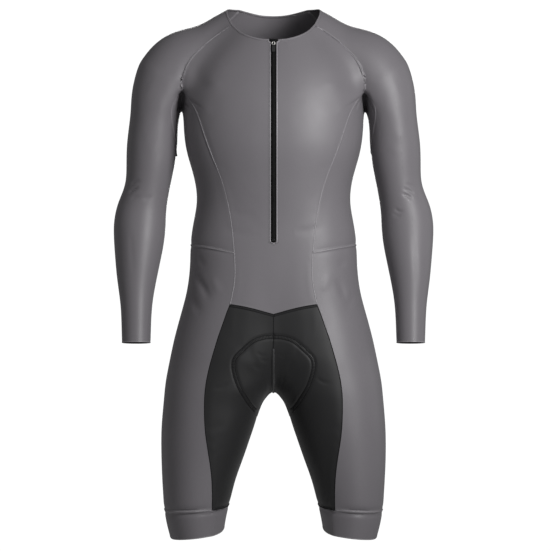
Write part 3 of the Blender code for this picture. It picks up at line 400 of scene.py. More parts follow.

# --------------------------------------------------------------------------------------
# The creases and the lie of the cloth. The suit is tight, so its folds are few and soft:
# small ones fan out of the armpits, cross the elbows and lie over the hips and the crotch.
# Each is drawn on the front view or, for the hidden sides, on the back view.
COLUMNS = "x1 z1 x2 z2 x3 z3 width depth".split()
FRONT_CREASES = (
    # The armpit at the image's left: folds fanning down from the gusset's tip.
    (-166, -152, -170, -161, -174, -172, 2.0, -2.4),
    (-163, -152, -165, -163, -166, -176, 2.0, -3.0),
    (-160, -153, -157, -163, -155, -175, 2.2, -2.8),
    (-165, -151, -168, -159, -170, -169, 1.6, 1.4),
    (-162, -151, -162, -160, -161, -171, 1.6, 1.6),
    (-157, -168, -150, -176, -145, -184, 2.6, -1.8),
    (-156, -178, -151, -186, -149, -196, 2.2, -1.2),
    # The armpit at the image's right.
    (158, -153, 156, -164, 155, -177, 2.0, -2.6),
    (161, -153, 162, -166, 163, -179, 2.2, -3.0),
    (164, -155, 169, -166, 172, -178, 2.2, -2.4),
    (160, -152, 159, -160, 159, -171, 1.6, 1.5),
    (163, -153, 166, -162, 167, -172, 1.6, 1.3),
    (154, -163, 148, -172, 144, -181, 2.6, -1.8),
    (168, -166, 174, -176, 177, -188, 2.6, -1.4),
    # The crook of the arm at the image's left.
    (-256, -326, -247, -321, -237, -316, 3.2, -2.4),
    (-252, -313, -243, -307, -234, -305, 4.0, -1.5),
    (-251, -338, -243, -334, -235, -333, 3.6, -1.0),
    (-214, -330, -222, -336, -231, -338, 5.0, -1.1),
    # The crook of the arm at the image's right: two short folds and a lower pair.
    (226, -328, 235, -331, 245, -337, 2.8, -2.4),
    (229, -319, 238, -322, 248, -328, 2.8, -2.0),
    (234, -311, 241, -313, 249, -318, 3.2, -1.3),
    (213, -354, 220, -359, 228, -359, 3.2, -1.9),
    (210, -362, 217, -366, 225, -367, 3.6, -1.1),
    # Over the hips.
    (-140, -470, -127, -487, -112, -513, 9.0, -2.2),
    (-133, -437, -129, -446, -120, -454, 8.0, -1.0),
    (-146, -503, -139, -521, -127, -537, 10.0, -1.4),
    (-108, -474, -100, -492, -93, -503, 9.0, 0.9),
    (110, -476, 119, -492, 127, -516, 9.0, -1.9),
    (126, -441, 122, -449, 113, -457, 8.0, -0.8),
    (141, -500, 136, -516, 126, -533, 10.0, -1.1),
    (97, -470, 91, -487, 84, -500, 9.0, 0.7),
    # Over the front of the pad, where the knit wrinkles a little.
    (-30, -606, -21, -612, -12, -611, 4.0, -0.4),
    (-24, -616, -16, -621, -8, -619, 3.6, -0.45),
    (8, -608, 16, -613, 24, -609, 4.0, -0.4),
    (9, -619, 18, -622, 26, -617, 3.8, -0.35),
    (-40, -626, -28, -633, -14, -634, 5.0, -0.4),
    (74, -650, 86, -658, 100, -660, 4.0, -0.6),
    (-78, -660, -92, -668, -106, -668, 4.6, -0.5),
    # Along the forearms and the waist.
    (-251, -392, -249, -430, -246, -470, 6.0, -0.5),
    (246, -404, 250, -446, 252, -492, 6.0, -0.6),
    (-88, -389, -62, -398, -33, -399, 9.0, -0.6),
    (36, -396, 61, -394, 84, -386, 9.0, -0.7),
    (-74, -360, -52, -366, -30, -364, 8.0, -0.4),
)
# The back's own, drawn for one side. The other side has them a little different.
BACK_CREASES = (
    (150, -152, 148, -166, 142, -182, 2.8, -1.5),
    (157, -152, 158, -168, 157, -186, 2.8, -1.6),
    (164, -155, 169, -170, 174, -186, 3.0, -1.3),
    (142, -158, 134, -170, 124, -180, 3.6, -0.9),
    (222, -322, 236, -330, 250, -326, 4.0, -1.1),
    (220, -338, 236, -348, 252, -344, 4.4, -1.2),
    (226, -356, 238, -362, 249, -360, 4.0, -0.7),
    (20, -398, 60, -404, 104, -392, 9.0, -1.6),
    (14, -420, 52, -430, 92, -424, 9.0, -1.2),
    (30, -376, 66, -378, 98, -370, 8.0, -0.8),
    (112, -470, 122, -490, 127, -516, 10.0, -1.4),
    (34, -664, 66, -676, 104, -672, 5.0, -1.2),
    (48, -684, 80, -694, 118, -690, 6.0, -0.9),
    (92, -860, 112, -866, 136, -862, 7.0, -0.6),
    (24, -96, 58, -104, 88, -96, 10.0, -0.6),
)
TWIN_CHANGES = ((1.04, 0.7, 3), (0.97, 1.15, -4), (1.0, 0.85, 2), (1.03, 1.1, -2))
FRONT, BACK = -1, 1


def smooth_line(knots, step):
    """Points about one step apart on a smooth curve through the knots."""
    knots = [Vector(knot) for knot in knots]
    rows = [2 * knots[0] - knots[1], *knots, 2 * knots[-1] - knots[-2]]
    line = []
    for a, b, c, d in zip(rows, rows[1:], rows[2:], rows[3:]):
        count = max(1, round((c - b).length / step))
        for i in range(count):
            t = i / count
            bend = (2 * a - 5 * b + 4 * c - d) * t * t + (3 * b - a - 3 * c + d) * t ** 3
            line.append(0.5 * (2 * b + (c - a) * t + bend))
    return line + [knots[-1]]


def skin_of(piece):
    """A tree for finding points on the piece."""
    mesh = bmesh.new()
    mesh.from_mesh(piece.data)
    tree = BVHTree.FromBMesh(mesh)
    mesh.free()
    return tree


def seen_at(skin, x, z, face):
    """The point seen at x and z, in millimetres, from the FRONT or the BACK."""
    hit = skin.ray_cast(Vector((x * MM, face, z * MM)), Vector((0, -face, 0)))
    return hit[0], hit[1]


def drawn_on(skin, knots, step, face):
    """A smooth line through knots of the front view, laid on the cloth: points and normals."""
    found = [seen_at(skin, *flat, face) for flat in smooth_line(knots, step)]
    found = [(place, normal) for place, normal in found if place is not None]
    return [place for place, _ in found], [normal for _, normal in found]


def from_line(places, line, reach):
    """The points within reach of a line: which they are, how far off and how far along."""
    line = np.array(line)
    low, high = line.min(0) - reach, line.max(0) + reach
    near = np.flatnonzero(((places > low) & (places < high)).all(1))
    starts, spans = line[:-1], np.diff(line, axis=0)
    lengths = np.linalg.norm(spans, axis=1)
    passed = np.concatenate([[0], np.cumsum(lengths)])
    gaps = places[near, None] - starts[None]
    t = np.clip((gaps * spans).sum(2) / np.maximum(lengths**2, 1e-12), 0, 1)
    away = np.linalg.norm(gaps - t[..., None] * spans, axis=2)
    best = away.argmin(1)
    rows = np.arange(len(near))
    along = (passed[best] + t[rows, best] * lengths[best]) / passed[-1]
    return near, away[rows, best], along


def distances(line):
    """How far along a line each of its points is."""
    return np.concatenate([[0], np.cumsum(np.linalg.norm(np.diff(line, axis=0), axis=1))])


def read_along(marks, passed, rows):
    """The rows' values at the marks, where each row is passed at its own distance."""
    return np.stack([np.interp(marks, passed, rows[:, k]) for k in range(3)], axis=1)


skin = skin_of(figure)
places = read_points(figure.data)


def chains(data, wanted):
    """The runs of vertices along the edges for which wanted(faces' cuts) holds."""
    cuts = {}
    for face in data.polygons:
        for key in face.edge_keys:
            cuts.setdefault(key, []).append(face.material_index)
    groups = {}
    for key, owners in cuts.items():
        name = wanted(owners)
        if name is not None:
            groups.setdefault(name, []).append(key)
    found = []
    for name, keys in groups.items():
        links = {}
        for a, b in keys:
            links.setdefault(a, []).append(b)
            links.setdefault(b, []).append(a)
        left = set(keys)
        starts = [v for v in sorted(links) if len(links[v]) != 2] + sorted(links)
        for start in starts:
            for step in links[start]:
                if (min(start, step), max(start, step)) not in left:
                    continue
                run = [start, step]
                left.discard((min(start, step), max(start, step)))
                while len(links[run[-1]]) == 2 and run[-1] != start:
                    ahead = [v for v in links[run[-1]] if v != run[-2]]
                    key = (min(run[-1], ahead[0]), max(run[-1], ahead[0]))
                    if key not in left:
                        break
                    left.discard(key)
                    run.append(ahead[0])
                found.append((name, run))
    return found


def panel_pair(owners):
    return tuple(sorted(set(owners))) if len(set(owners)) == 2 else None


def free_edge(owners):
    return owners[0] if len(owners) == 1 else None


seams = chains(figure.data, panel_pair)
rims = chains(figure.data, free_edge)

# A sewn seam pulls into an even line: each is evened out, and the cloth beside it follows.
EVENING = 0.5
EVENING_TURNS = 0.05
EVENING_REACH = 90 * MM
FOLLOW = 7 * MM
for _, run in seams:
    line = places[run].copy()
    step = np.linalg.norm(np.diff(line, axis=0), axis=1).mean()
    for _ in range(int(EVENING_TURNS * (EVENING_REACH / step) ** 2)):
        line[1:-1] += EVENING * (0.5 * (line[:-2] + line[2:]) - line[1:-1])
    moves = line - places[run]
    near, away, along = from_line(places, places[run], 2 * FOLLOW)
    passed = distances(places[run])
    shift = read_along(along, passed / passed[-1], moves)
    places[near] += shift * np.exp(-((away / FOLLOW) ** 2))[:, None]
for i in {i for _, run in seams for i in run}:
    places[i] = skin.find_nearest(Vector(places[i]))[0]

# Under the arms the cloth is drawn in deep between the sleeve and the side.
HOLLOW_COLUMNS = "x1 z1 x2 z2 width depth face".split()
HOLLOWS = (
    (-162, -158, -165, -180, 8.5, 23, FRONT),
    (160, -160, 162, -182, 8.5, 23, FRONT),
    (-158, -164, -158, -178, 9, 7, BACK),
    (158, -164, 158, -178, 9, 7, BACK),
)
HOLLOW_IN, HOLLOW_UP = 0.94, 0.34
for row in HOLLOWS:
    hollow = dict(zip(HOLLOW_COLUMNS, row))
    ends = [(hollow["x" + i], hollow["z" + i]) for i in "12"]
    line, _ = drawn_on(skin, ends, 3, hollow["face"])
    near, away, _ = from_line(places, line, 3 * hollow["width"] * MM)
    inward = np.array((0, -HOLLOW_IN * hollow["face"], HOLLOW_UP))
    drawn_in = hollow["depth"] * MM * np.exp(-((away / (hollow["width"] * MM)) ** 2))
    places[near] += drawn_in[:, None] * inward

# The gap between sleeve and side runs up to the hollow.
GAP_TOPS = ((-164, -190), (159, -193))
GAP_RISE = 7 * MM
GAP_HALF = 9 * MM
for x, z in GAP_TOPS:
    away = np.hypot(places[:, 0] - x * MM, places[:, 2] - z * MM)
    places[:, 2] += GAP_RISE * np.exp(-((away / GAP_HALF) ** 2))

# The cuffs are cut square to the wrist, so that their back edges are as high as the front.
CUFF_RISE = 5 * MM
CUFF_REACH = 14 * MM
ENDS_BELOW = -0.5
for owner, run in rims:
    line = places[run]
    if "sleeve" in PANELS[owner] and line[:, 2].max() < ENDS_BELOW:
        near, away, _ = from_line(places, line, CUFF_REACH)
        low, high = line[:, 1].min(), line[:, 1].max()
        behind = np.clip((places[near, 1] - low) / (high - low), 0, 1)
        places[near, 2] += CUFF_RISE * behind * np.clip(1 - away / CUFF_REACH, 0, 1)
write_points(figure.data, places)
skin = skin_of(figure)
ups = read_points(figure.data, "normal")
lift = np.zeros(len(places))
creases = [(dict(zip(COLUMNS, row)), FRONT) for row in FRONT_CREASES]
for index, row in enumerate(BACK_CREASES):
    crease = dict(zip(COLUMNS, row))
    stretch, strength, shift = TWIN_CHANGES[index % len(TWIN_CHANGES)]
    twin = dict(crease)
    for i in "123":
        twin["x" + i] = -crease["x" + i] * stretch
        twin["z" + i] = crease["z" + i] + shift
    twin["depth"] = crease["depth"] * strength
    creases += [(crease, BACK), (twin, BACK)]
for crease, face in creases:
    knots = [(crease["x" + i], crease["z" + i]) for i in "123"]
    line, _ = drawn_on(skin, knots, 3, face)
    if len(line) < 2:
        continue
    width = crease["width"] * MM
    near, away, along = from_line(places, line, 3 * width)
    across = (away / width) ** 2
    profile = np.exp(-across) * (1 - 0.5 * across)
    ends = np.sin(math.pi * np.clip(along, 0.02, 0.98)) ** 0.7
    lift[near] += crease["depth"] * MM * profile * ends

# The knit is never quite even over its hollows: a soft unevenness all over.
UNEVEN_SIZE = 70 * MM
UNEVEN_DEPTH = 0.35 * MM
for i, place in enumerate(places):
    lift[i] += UNEVEN_DEPTH * noise.noise(place / UNEVEN_SIZE)

# The pad under the dark saddle swells its front, and two rows of stitches hold it down.
PAD_OUTLINE = (
    *((0, -576), (20, -578), (38, -585), (56, -600), (70, -615), (73, -630)),
    *((70, -648), (63, -668), (54, -684), (42, -702), (34, -711)),
)
PAD_MIDDLE = (0, -650)
PAD_ROW_GAP = 6
PAD_ROW_DEPTH = 1.0 * MM
PAD_ROW_HALF = 2.2 * MM
PAD_SWELL = 1.2 * MM
PAD_HALF, PAD_TOP, PAD_END = 0.075, -0.576, -0.72
PAD_SIDE_SLOPE, PAD_TOP_SLOPE = 14 * MM, 12 * MM


def pad_row(inset, side):
    """One row of stitches on one side of the pad, set in from its outline."""
    middle = Vector(PAD_MIDDLE)
    knots = []
    for x, z in PAD_OUTLINE:
        away = Vector((x, z)) - middle
        knot = middle + away * (1 - inset / max(away.length, 1))
        knots.append((side * max(knot.x, 0), knot.y))
    return drawn_on(skin, knots, 2, FRONT)


pad_rows = [pad_row(inset, side) for side in (-1, 1) for inset in (0, PAD_ROW_GAP)]
for line, _ in pad_rows:
    near, away, _ = from_line(places, line, 6 * MM)
    lift[near] -= PAD_ROW_DEPTH * np.exp(-((away / PAD_ROW_HALF) ** 2))
flat = np.array([(side * x, z) for side in (1, -1) for x, z in PAD_OUTLINE]) * MM
on_pad = (np.abs(places[:, 0]) < PAD_HALF) & (places[:, 1] < 0)
on_pad &= (places[:, 2] < PAD_TOP) & (places[:, 2] > PAD_END)
half = np.interp(-places[:, 2], -flat[: len(PAD_OUTLINE), 1], flat[: len(PAD_OUTLINE), 0])
deep = np.clip((half - np.abs(places[:, 0])) / PAD_SIDE_SLOPE, 0, 1)
deep *= np.clip((PAD_TOP - places[:, 2]) / PAD_TOP_SLOPE, 0, 1)
lift[on_pad] += (PAD_SWELL * np.sin(deep * math.pi / 2))[on_pad]

# Down the pad's front the middle seam stands up as a ridge.
RIDGE = ((0, -610), (0, -630), (0, -652), (0, -668))
RIDGE_HIGH = 0.9 * MM
RIDGE_HALF = 3.0 * MM
ridge, _ = drawn_on(skin, RIDGE, 3, FRONT)
near, away, along = from_line(places, ridge, 3 * RIDGE_HALF)
swell = np.exp(-((away / RIDGE_HALF) ** 2)) * np.sin(math.pi * along) ** 0.5
lift[near] += RIDGE_HIGH * swell

# The grip bands are rolled just below their seams, with a groove under the roll. Each is a
# height, a distance from the seam and half a width, in millimetres.
BAND_ROLL = (0.7, 2.6, 1.7)
BAND_GROOVE = (0.7, 6.2, 1.4)
BANDS = (PANELS.index("leg_band_left"), PANELS.index("leg_band_right"))


def swelling(away, high, off, half):
    return high * np.exp(-(((away - off * MM) / (half * MM)) ** 2))


of_bands = np.zeros(len(places), bool)
for face in figure.data.polygons:
    if face.material_index in BANDS:
        of_bands[list(face.vertices)] = True
for pair, run in seams:
    if set(pair) & set(BANDS) and len(run) > 8:
        near, away, _ = from_line(places, places[run], 12 * MM)
        roll = swelling(away, *BAND_ROLL) - swelling(away, *BAND_GROOVE)
        lift[near] += np.where(of_bands[near], roll, 0) * MM

places = places + ups * lift[:, None]
write_points(figure.data, places)
skin = skin_of(figure)
ups = read_points(figure.data, "normal")
seam_lines = [(pair, places[run], ups[run]) for pair, run in seams]
rim_lines = [(owner, places[run], ups[run]) for owner, run in rims]

# --------------------------------------------------------------------------------------
# The panels: each cut from the knit, sewn edge to edge and stretched over the figure. The
# flat sizes are those of the cut pieces, about an eighth smaller each way than when worn.
CLOTH = 1.0 * MM
INNER_SHARE = 0.72
bpy.ops.object.mode_set(mode="EDIT")
bpy.ops.mesh.separate(type="MATERIAL")
bpy.ops.object.mode_set(mode="OBJECT")
panels = {}
for piece in [o for o in bpy.context.scene.objects if o.name.startswith("figure")]:
    cut = piece.data.materials[piece.data.polygons[0].material_index].name
    panels[cut.removeprefix("cut_")] = piece
for node, piece in panels.items():
    slot = "black_knit" if "inner_leg" in node else "band_knit" if "band" in node else "grey_knit"
    piece.name = "cloth_" + node
    piece.data.materials.clear()
    piece.data.materials.append(black_knit if "inner_leg" in node else grey_knit)
    piece.data.polygons.foreach_set("material_index", [0] * len(piece.data.polygons))
    wall = piece.modifiers.new("cloth", "SOLIDIFY")
    wall.thickness = CLOTH
    wall.offset = -1
    piece.vertex_groups.new(name="inner_side")
    wall.shell_vertex_group = "inner_side"
    # The inner side is plain, so it needs fewer faces than the outer one.
    thinner = piece.modifiers.new("thinner", "DECIMATE")
    thinner.vertex_group = "inner_side"
    thinner.ratio = INNER_SHARE
    select_only(piece)
    bpy.ops.object.modifier_apply(modifier="cloth")
    bpy.ops.object.modifier_apply(modifier="thinner")
    bpy.ops.object.shade_smooth_by_angle(angle=math.radians(55))
    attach(piece, "suit")
    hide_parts(node)

# --------------------------------------------------------------------------------------
# The flatlock seams: the panels' edges lie butted and a four-needle stitch covers them, a
# fine raised band of grey thread outside and a flatter one inside.
STITCH_PITCH = 1.6 * MM
# Half the width of each seam's band, and how far it stands up.
GREY_BAND = (1.1 * MM, 0.38 * MM)
DARK_BAND = (0.8 * MM, 0.3 * MM)
RIDGE_BAND = (1.9 * MM, 1.2 * MM)
INSIDE_BAND = (2.6 * MM, 0.3 * MM)
PAD_SIDE_BAND = (1.0 * MM, 0.4 * MM)
RIDGE_TOP = -0.600


def thread(name, light, dark, pitch, roughness, gloss=0.5):
    """Covering thread: it slants across the seam once a stitch, and shines a little."""
    made = new_material(name)
    place = add_node(made, "ShaderNodeUVMap", uv_map="run").outputs[0]
    slant = add_node(
        made,
        "ShaderNodeMapping",
        {"Vector": place, "Scale": (1 / pitch, 0.5, 1), "Rotation": (0, 0, 0.3)},
    ).outputs[0]
    wave = add_node(
        made, "ShaderNodeTexWave", {"Vector": slant, "Scale": 0.32, "Distortion": 0.6}
    )
    tone = add_node(
        made,
        "ShaderNodeMix",
        {"Factor": wave.outputs["Fac"], "A": linear(dark), "B": linear(light)},
        data_type="RGBA",
    )
    bump = add_node(
        made,
        "ShaderNodeBump",
        {"Height": wave.outputs["Fac"], "Strength": 0.6, "Distance": 0.2 * MM},
    )
    surface(
        made,
        Base_Color=tone.outputs[2],
        Roughness=roughness,
        Specular_IOR_Level=gloss,
        Normal=bump.outputs[0],
    )
    return made


grey_thread = thread("grey_textured_nylon_thread", 0x8A878B, 0x757276, STITCH_PITCH, 0.4)
black_thread = thread("black_textured_nylon_thread", 0x141415, 0x0C0C0D, STITCH_PITCH, 0.7, 0.2)


def suit_piece(name, data, material):
    """A smooth piece of the suit, made of a mesh and a material."""
    data.shade_smooth()
    piece = bpy.data.objects.new(name, data)
    bpy.context.scene.collection.objects.link(piece)
    data.materials.append(material)
    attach(piece, "suit")
    return piece


def lay_strips(name, lines, half, proud, material, slot, shift=0.0, under=-0.3 * MM, away=None):
    """Closed strips of rounded section, laid along lines on the cloth. Each line is given as
    its points and their normals; shift moves it sideways, away from the given point."""
    ring = ((-1, under), (-1, proud * 0.3), (-0.6, proud * 0.85), (0, proud))
    ring += ((0.6, proud * 0.85), (1, proud * 0.3), (1, under))
    size = len(ring)
    points, faces, runs = [], [], []
    for line, normals in lines:
        line = [Vector(p) for p in line]
        loop = (line[0] - line[-1]).length < 0.01 * MM
        count = len(line)
        first = len(points)
        passed = 0.0
        for i, (place, up) in enumerate(zip(line, normals)):
            back = line[i - 1] if i else (line[-2] if loop else place)
            ahead = line[i + 1] if i < count - 1 else (line[1] if loop else place)
            up = Vector(up)
            side = up.cross(ahead - back).normalized()
            if away is not None and side.dot(place - away(place)) < 0:
                side = -side
            passed += (place - line[i - 1]).length if i else 0
            for across, high in ring:
                points.append(place + side * (shift + across * half) + up * high)
            runs.append(passed)
        for i in range(count - 1):
            for k in range(size):
                a, b = first + i * size + k, first + i * size + (k + 1) % size
                faces.append((a, b, b + size, a + size))
        if not loop:
            faces.append(tuple(range(first, first + size)))
            faces.append(tuple(range(first + (count - 1) * size, first + count * size))[::-1])
    data = bpy.data.meshes.new(name)
    data.from_pydata(points, [], faces)
    uv = data.uv_layers.new(name="run")
    for corner in data.loops:
        row, k = divmod(corner.vertex_index, size)
        uv.data[corner.index].uv = (runs[row], k / size)
    mesh = bmesh.new()
    mesh.from_mesh(data)
    bmesh.ops.remove_doubles(mesh, verts=mesh.verts, dist=0.01 * MM)
    bmesh.ops.recalc_face_normals(mesh, faces=mesh.faces)
    mesh.to_mesh(data)
    mesh.free()
    return suit_piece(name, data, material)


BLACK = {PANELS.index("inner_leg_left"), PANELS.index("inner_leg_right")}
GREY_SEAMS = [(p, n) for pair, p, n in seam_lines if not set(pair) & BLACK]
EDGE_SEAMS = [(p, n) for pair, p, n in seam_lines if len(set(pair) & BLACK) == 1]
MIDDLE_SEAM = [(p, n) for pair, p, n in seam_lines if set(pair) == BLACK]
lay_strips("seams_grey", GREY_SEAMS, *GREY_BAND, grey_thread, "grey_knit")
lay_strips("seams_dark_edge", EDGE_SEAMS, *DARK_BAND, black_thread, "black_knit")


def part_of(lines, wanted):
    """The points of each line for which wanted(points) holds."""
    return [(p[wanted(p)], n[wanted(p)]) for p, n in lines if wanted(p).sum() > 2]


above_pad = part_of(MIDDLE_SEAM, lambda p: (p[:, 1] < 0) & (p[:, 2] > RIDGE_TOP))
along_pad = part_of(MIDDLE_SEAM, lambda p: (p[:, 1] < 0) & (p[:, 2] <= RIDGE_TOP))
behind = part_of(MIDDLE_SEAM, lambda p: p[:, 1] >= 0)
lay_strips("seam_middle", above_pad + behind, *DARK_BAND, black_thread, "black_knit")
# The ridge is the black knit drawn in a lighter charcoal, a painted highlight along the raised
# seam.
ridge_knit_with_painted_highlight = knit("black_knit_ridge_with_painted_highlight", 0x39393A, 0x303031, 0.55, 0.2, 0.08 * MM, 0.35)
lay_strips("seam_on_pad", along_pad, *RIDGE_BAND, ridge_knit_with_painted_highlight, "black_knit")


def turned_in(lines):
    """The same lines on the inner side of the cloth, with every second point."""
    return [
        ((np.array(p) - np.array(n) * CLOTH)[::2], -np.array(n)[::2])
        for p, n in lines
        if len(p) > 5
    ]


for name, lines, band, covering, slot in (
    ("seams_grey_inside", GREY_SEAMS, INSIDE_BAND, grey_thread, "grey_knit"),
    ("seams_dark_inside", EDGE_SEAMS, INSIDE_BAND, black_thread, "black_knit"),
    ("seam_middle_inside", MIDDLE_SEAM, PAD_SIDE_BAND, black_thread, "black_knit"),
):
    lay_strips(name, turned_in(lines), *band, covering, slot)

# --------------------------------------------------------------------------------------
# The strip under the V: the grey front ends on a narrow black elastic, turned down over the
# top of the dark saddle and sewn flat, so its edge shows as a darker band.
V_STRIP_HALF = 1.9 * MM
elastic = knit("black_woven_elastic", 0x1B1B1C, 0x141415, 0.66, 0.05, 0.1 * MM, 0.25)
FRONT_PANEL = PANELS.index("front")
V_SEAMS = [(p, n) for pair, p, n in seam_lines if FRONT_PANEL in pair and set(pair) & BLACK]
v_strip = lay_strips(
    "v_strip",
    V_SEAMS,
    V_STRIP_HALF,
    0.35 * MM,
    elastic,
    "black_knit",
    shift=V_STRIP_HALF + 0.6 * MM,
    away=lambda place: Vector((place.x * 0.9, place.y, place.z + 0.05)),
)

# --------------------------------------------------------------------------------------
# The pad's stitching: two needle rows of black thread hold the pad behind the saddle, and
# short rungs of the same thread cross between them. Both are sunk a little into the knit.
def even_steps(line, normals, pitch):
    """Places, directions and normals every pitch along a line."""
    line, normals = np.array(line), np.array(normals)
    passed = distances(line)
    marks = np.arange(pitch / 2, passed[-1], pitch)
    at, up = read_along(marks, passed, line), read_along(marks, passed, normals)
    ahead = read_along(marks + 0.3 * MM, passed, line)
    behind = read_along(marks - 0.3 * MM, passed, line)
    return [(Vector(a), Vector(d), Vector(u)) for a, d, u in zip(at, ahead - behind, up)]


def repeat_on(name, pattern, spots, material, height=0.0):
    """Copies of a small mesh at many spots, in one piece. Its X runs along, its Z stands up."""
    base = np.array([v.co for v in pattern.vertices])
    cells = [tuple(face.vertices) for face in pattern.polygons]
    points, faces = [], []
    for at, along, up in spots:
        up = up.normalized()
        side = up.cross(along).normalized()
        along = side.cross(up)
        turn = np.array([along, side, up])
        faces += [tuple(i + len(points) for i in cell) for cell in cells]
        points += [tuple(p) for p in base @ turn + np.array(at + up * height)]
    data = bpy.data.meshes.new(name)
    data.from_pydata(points, [], faces)
    return suit_piece(name, data, material)


def bead(length, width, height):
    """A small ellipsoid mesh, the shape of one stitch or one turn of the coil."""
    bpy.ops.object.select_all(action="DESELECT")
    bpy.ops.mesh.primitive_uv_sphere_add(segments=6, ring_count=4, radius=1, location=(0, 0, 0))
    made = bpy.context.object
    data = made.data
    data.transform(Matrix.Rotation(math.pi / 2, 4, "Y"))
    data.transform(Matrix.Diagonal((length / 2, width / 2, height / 2, 1)))
    bpy.data.objects.remove(made)
    return data


SPACING = 2.6 * MM
NEEDLE_ROW = (0.75 * MM, 0.15 * MM)
laid_rows = []
for side in (-1, 1):
    for inset in (0, PAD_ROW_GAP, PAD_ROW_GAP / 2):
        line, _ = pad_row(inset, side)
        found = [skin.find_nearest(place)[:2] for place in line]
        laid_rows.append(([place for place, _ in found], [normal for _, normal in found]))
needle_rows = [row for i, row in enumerate(laid_rows) if i % 3 < 2]
pad_rows_sewn = lay_strips(
    "pad_stitch_rows", needle_rows, *NEEDLE_ROW, black_thread, "black_knit", under=-0.4 * MM
)
rungs = []
for line, normals in laid_rows[2::3]:
    rungs += [(at, up.cross(ahead), up) for at, ahead, up in even_steps(line, normals, SPACING)]
rung = bead(PAD_ROW_GAP * MM, 0.9 * MM, 0.5 * MM)
pad_stitches = repeat_on("pad_stitches", rung, rungs, black_thread, 0.1 * MM)

# --------------------------------------------------------------------------------------
# The zip's opening: the front's edge is turned in round the slot and stands up as a soft
# roll, drawn in a lighter grey than the knit, which is a painted highlight along it. One
# row of stitches runs outside it, in a darker thread that is partly a painted shadow.
SLOT_TOP, SLOT_END = -0.045, -0.410
SLOT_REACH = 12 * MM
ROLL_HALF = 1.25 * MM


def slot_middle(place):
    return Vector((0, place.y, max(place.z, SLOT_END)))


front_rims = [(p, n) for owner, p, n in rim_lines if owner == FRONT_PANEL]
front_rim = max(front_rims, key=lambda rim: len(rim[0]))
of_slot = (np.abs(front_rim[0][:, 0]) < SLOT_REACH) & (front_rim[0][:, 2] < SLOT_TOP)
slot_line = (front_rim[0][of_slot], front_rim[1][of_slot])
# The roll's lighter grey is a painted highlight: the knit there is the same grey as the front.
grey_roll_with_painted_highlight = knit("grey_knit_roll_with_painted_highlight", 0x8B888C, 0x7E7B7F, 0.38, 0.08, 0.05 * MM, 0.5)
slot_roll = lay_strips(
    "zip_opening_roll",
    [slot_line],
    ROLL_HALF,
    0.75 * MM,
    grey_roll_with_painted_highlight,
    "grey_knit",
    shift=ROLL_HALF - 0.3 * MM,
    under=-1.0 * MM,
    away=slot_middle,
)
STITCH_OFF = 4.2 * MM
row = []
for place, up in zip(*slot_line):
    place = Vector(place)
    off = place - slot_middle(place)
    off -= off.dot(Vector(up)) * Vector(up)
    row.append(skin.find_nearest(place + off.normalized() * STITCH_OFF)[:2])
spots = even_steps([p for p, _ in row], [n for _, n in row], SPACING)
stitch = bead(2.0 * MM, 0.45 * MM, 0.4 * MM)
# These stitches are darker than the knit: partly real thread, partly a painted shadow line beside
# the roll.
dull_thread_and_painted_shadow = thread("grey_polyester_thread_and_painted_shadow", 0x565357, 0x4A474B, STITCH_PITCH, 0.6)
slot_stitches = repeat_on("zip_opening_stitches", stitch, spots, dull_thread_and_painted_shadow)

# --------------------------------------------------------------------------------------
# The zip: a reversed black coil on woven polyester tape. Each turn of the coil is a fine
# rib, and the two sides' ribs lie between each other.
TAPE_THREAD = 0.8 * MM
WAVE_LENGTH = 0.314
tape = new_material("black_woven_polyester_tape")
place = add_node(tape, "ShaderNodeTexCoord").outputs["Object"]
weave = add_node(
    tape,
    "ShaderNodeTexWave",
    {"Vector": place, "Scale": WAVE_LENGTH / TAPE_THREAD, "Distortion": 0.8, "Detail": 1.0},
    bands_direction="Z",
)
tone = add_node(
    tape,
    "ShaderNodeMix",
    {"Factor": weave.outputs["Fac"], "A": linear(0x060606), "B": linear(0x0E0E0E)},
    data_type="RGBA",
)
bump = add_node(
    tape,
    "ShaderNodeBump",
    {"Height": weave.outputs["Fac"], "Strength": 0.5, "Distance": 0.1 * MM},
)
surface(
    tape,
    Base_Color=tone.outputs[2],
    Roughness=0.75,
    Specular_IOR_Level=0.2,
    Normal=bump.outputs[0],
)
coil = new_material("black_moulded_polyester_coil")
place = add_node(coil, "ShaderNodeTexCoord").outputs["Object"]
cloud = add_node(coil, "ShaderNodeTexNoise", {"Vector": place, "Scale": 900.0, "Detail": 1.0})
tone = add_node(
    coil,
    "ShaderNodeMix",
    {"Factor": cloud.outputs["Fac"], "A": linear(0x090909), "B": linear(0x121212)},
    data_type="RGBA",
)
surface(coil, Base_Color=tone.outputs[2], Roughness=0.55, Specular_IOR_Level=0.22)
for name in ("zip_tape_left", "zip_tape_right"):
    nodes[name].data.materials.clear()
    nodes[name].data.materials.append(tape)

COIL_TOP, COIL_END, COIL_PITCH = -68.5, -407.5, 1.3
RIB_X, RIB_LEAN = 0.75, 0.22
TAPE_X = 1.2
tapes = [skin_of(nodes[name]) for name in ("zip_tape_left", "zip_tape_right")]
spots = []
for side, tree in ((1, tapes[0]), (-1, tapes[1])):
    z = COIL_TOP - (0.25 if side > 0 else 0.75) * COIL_PITCH
    while z > COIL_END:
        hit = tree.ray_cast(Vector((side * TAPE_X * MM, -1, z * MM)), Vector((0, 1, 0)))
        if hit[0] is not None:
            at = Vector((side * RIB_X * MM, hit[0].y, z * MM))
            spots.append((at, Vector((1, 0, RIB_LEAN * side)), hit[1]))
        z -= COIL_PITCH
rib = bead(2.5 * MM, 0.85 * MM, 0.9 * MM)
repeat_on("zip_coil", rib, spots, coil)

# --------------------------------------------------------------------------------------
# The slider: a black die-cast shield with a black wire bail, and the stop, a crimped staple.
SLIDER_AT = Vector((0, -0.0777482, -0.063))
SLIDER_TILT = -0.43440
slider_place = Matrix.Translation(SLIDER_AT) @ Matrix.Rotation(SLIDER_TILT, 4, "X")


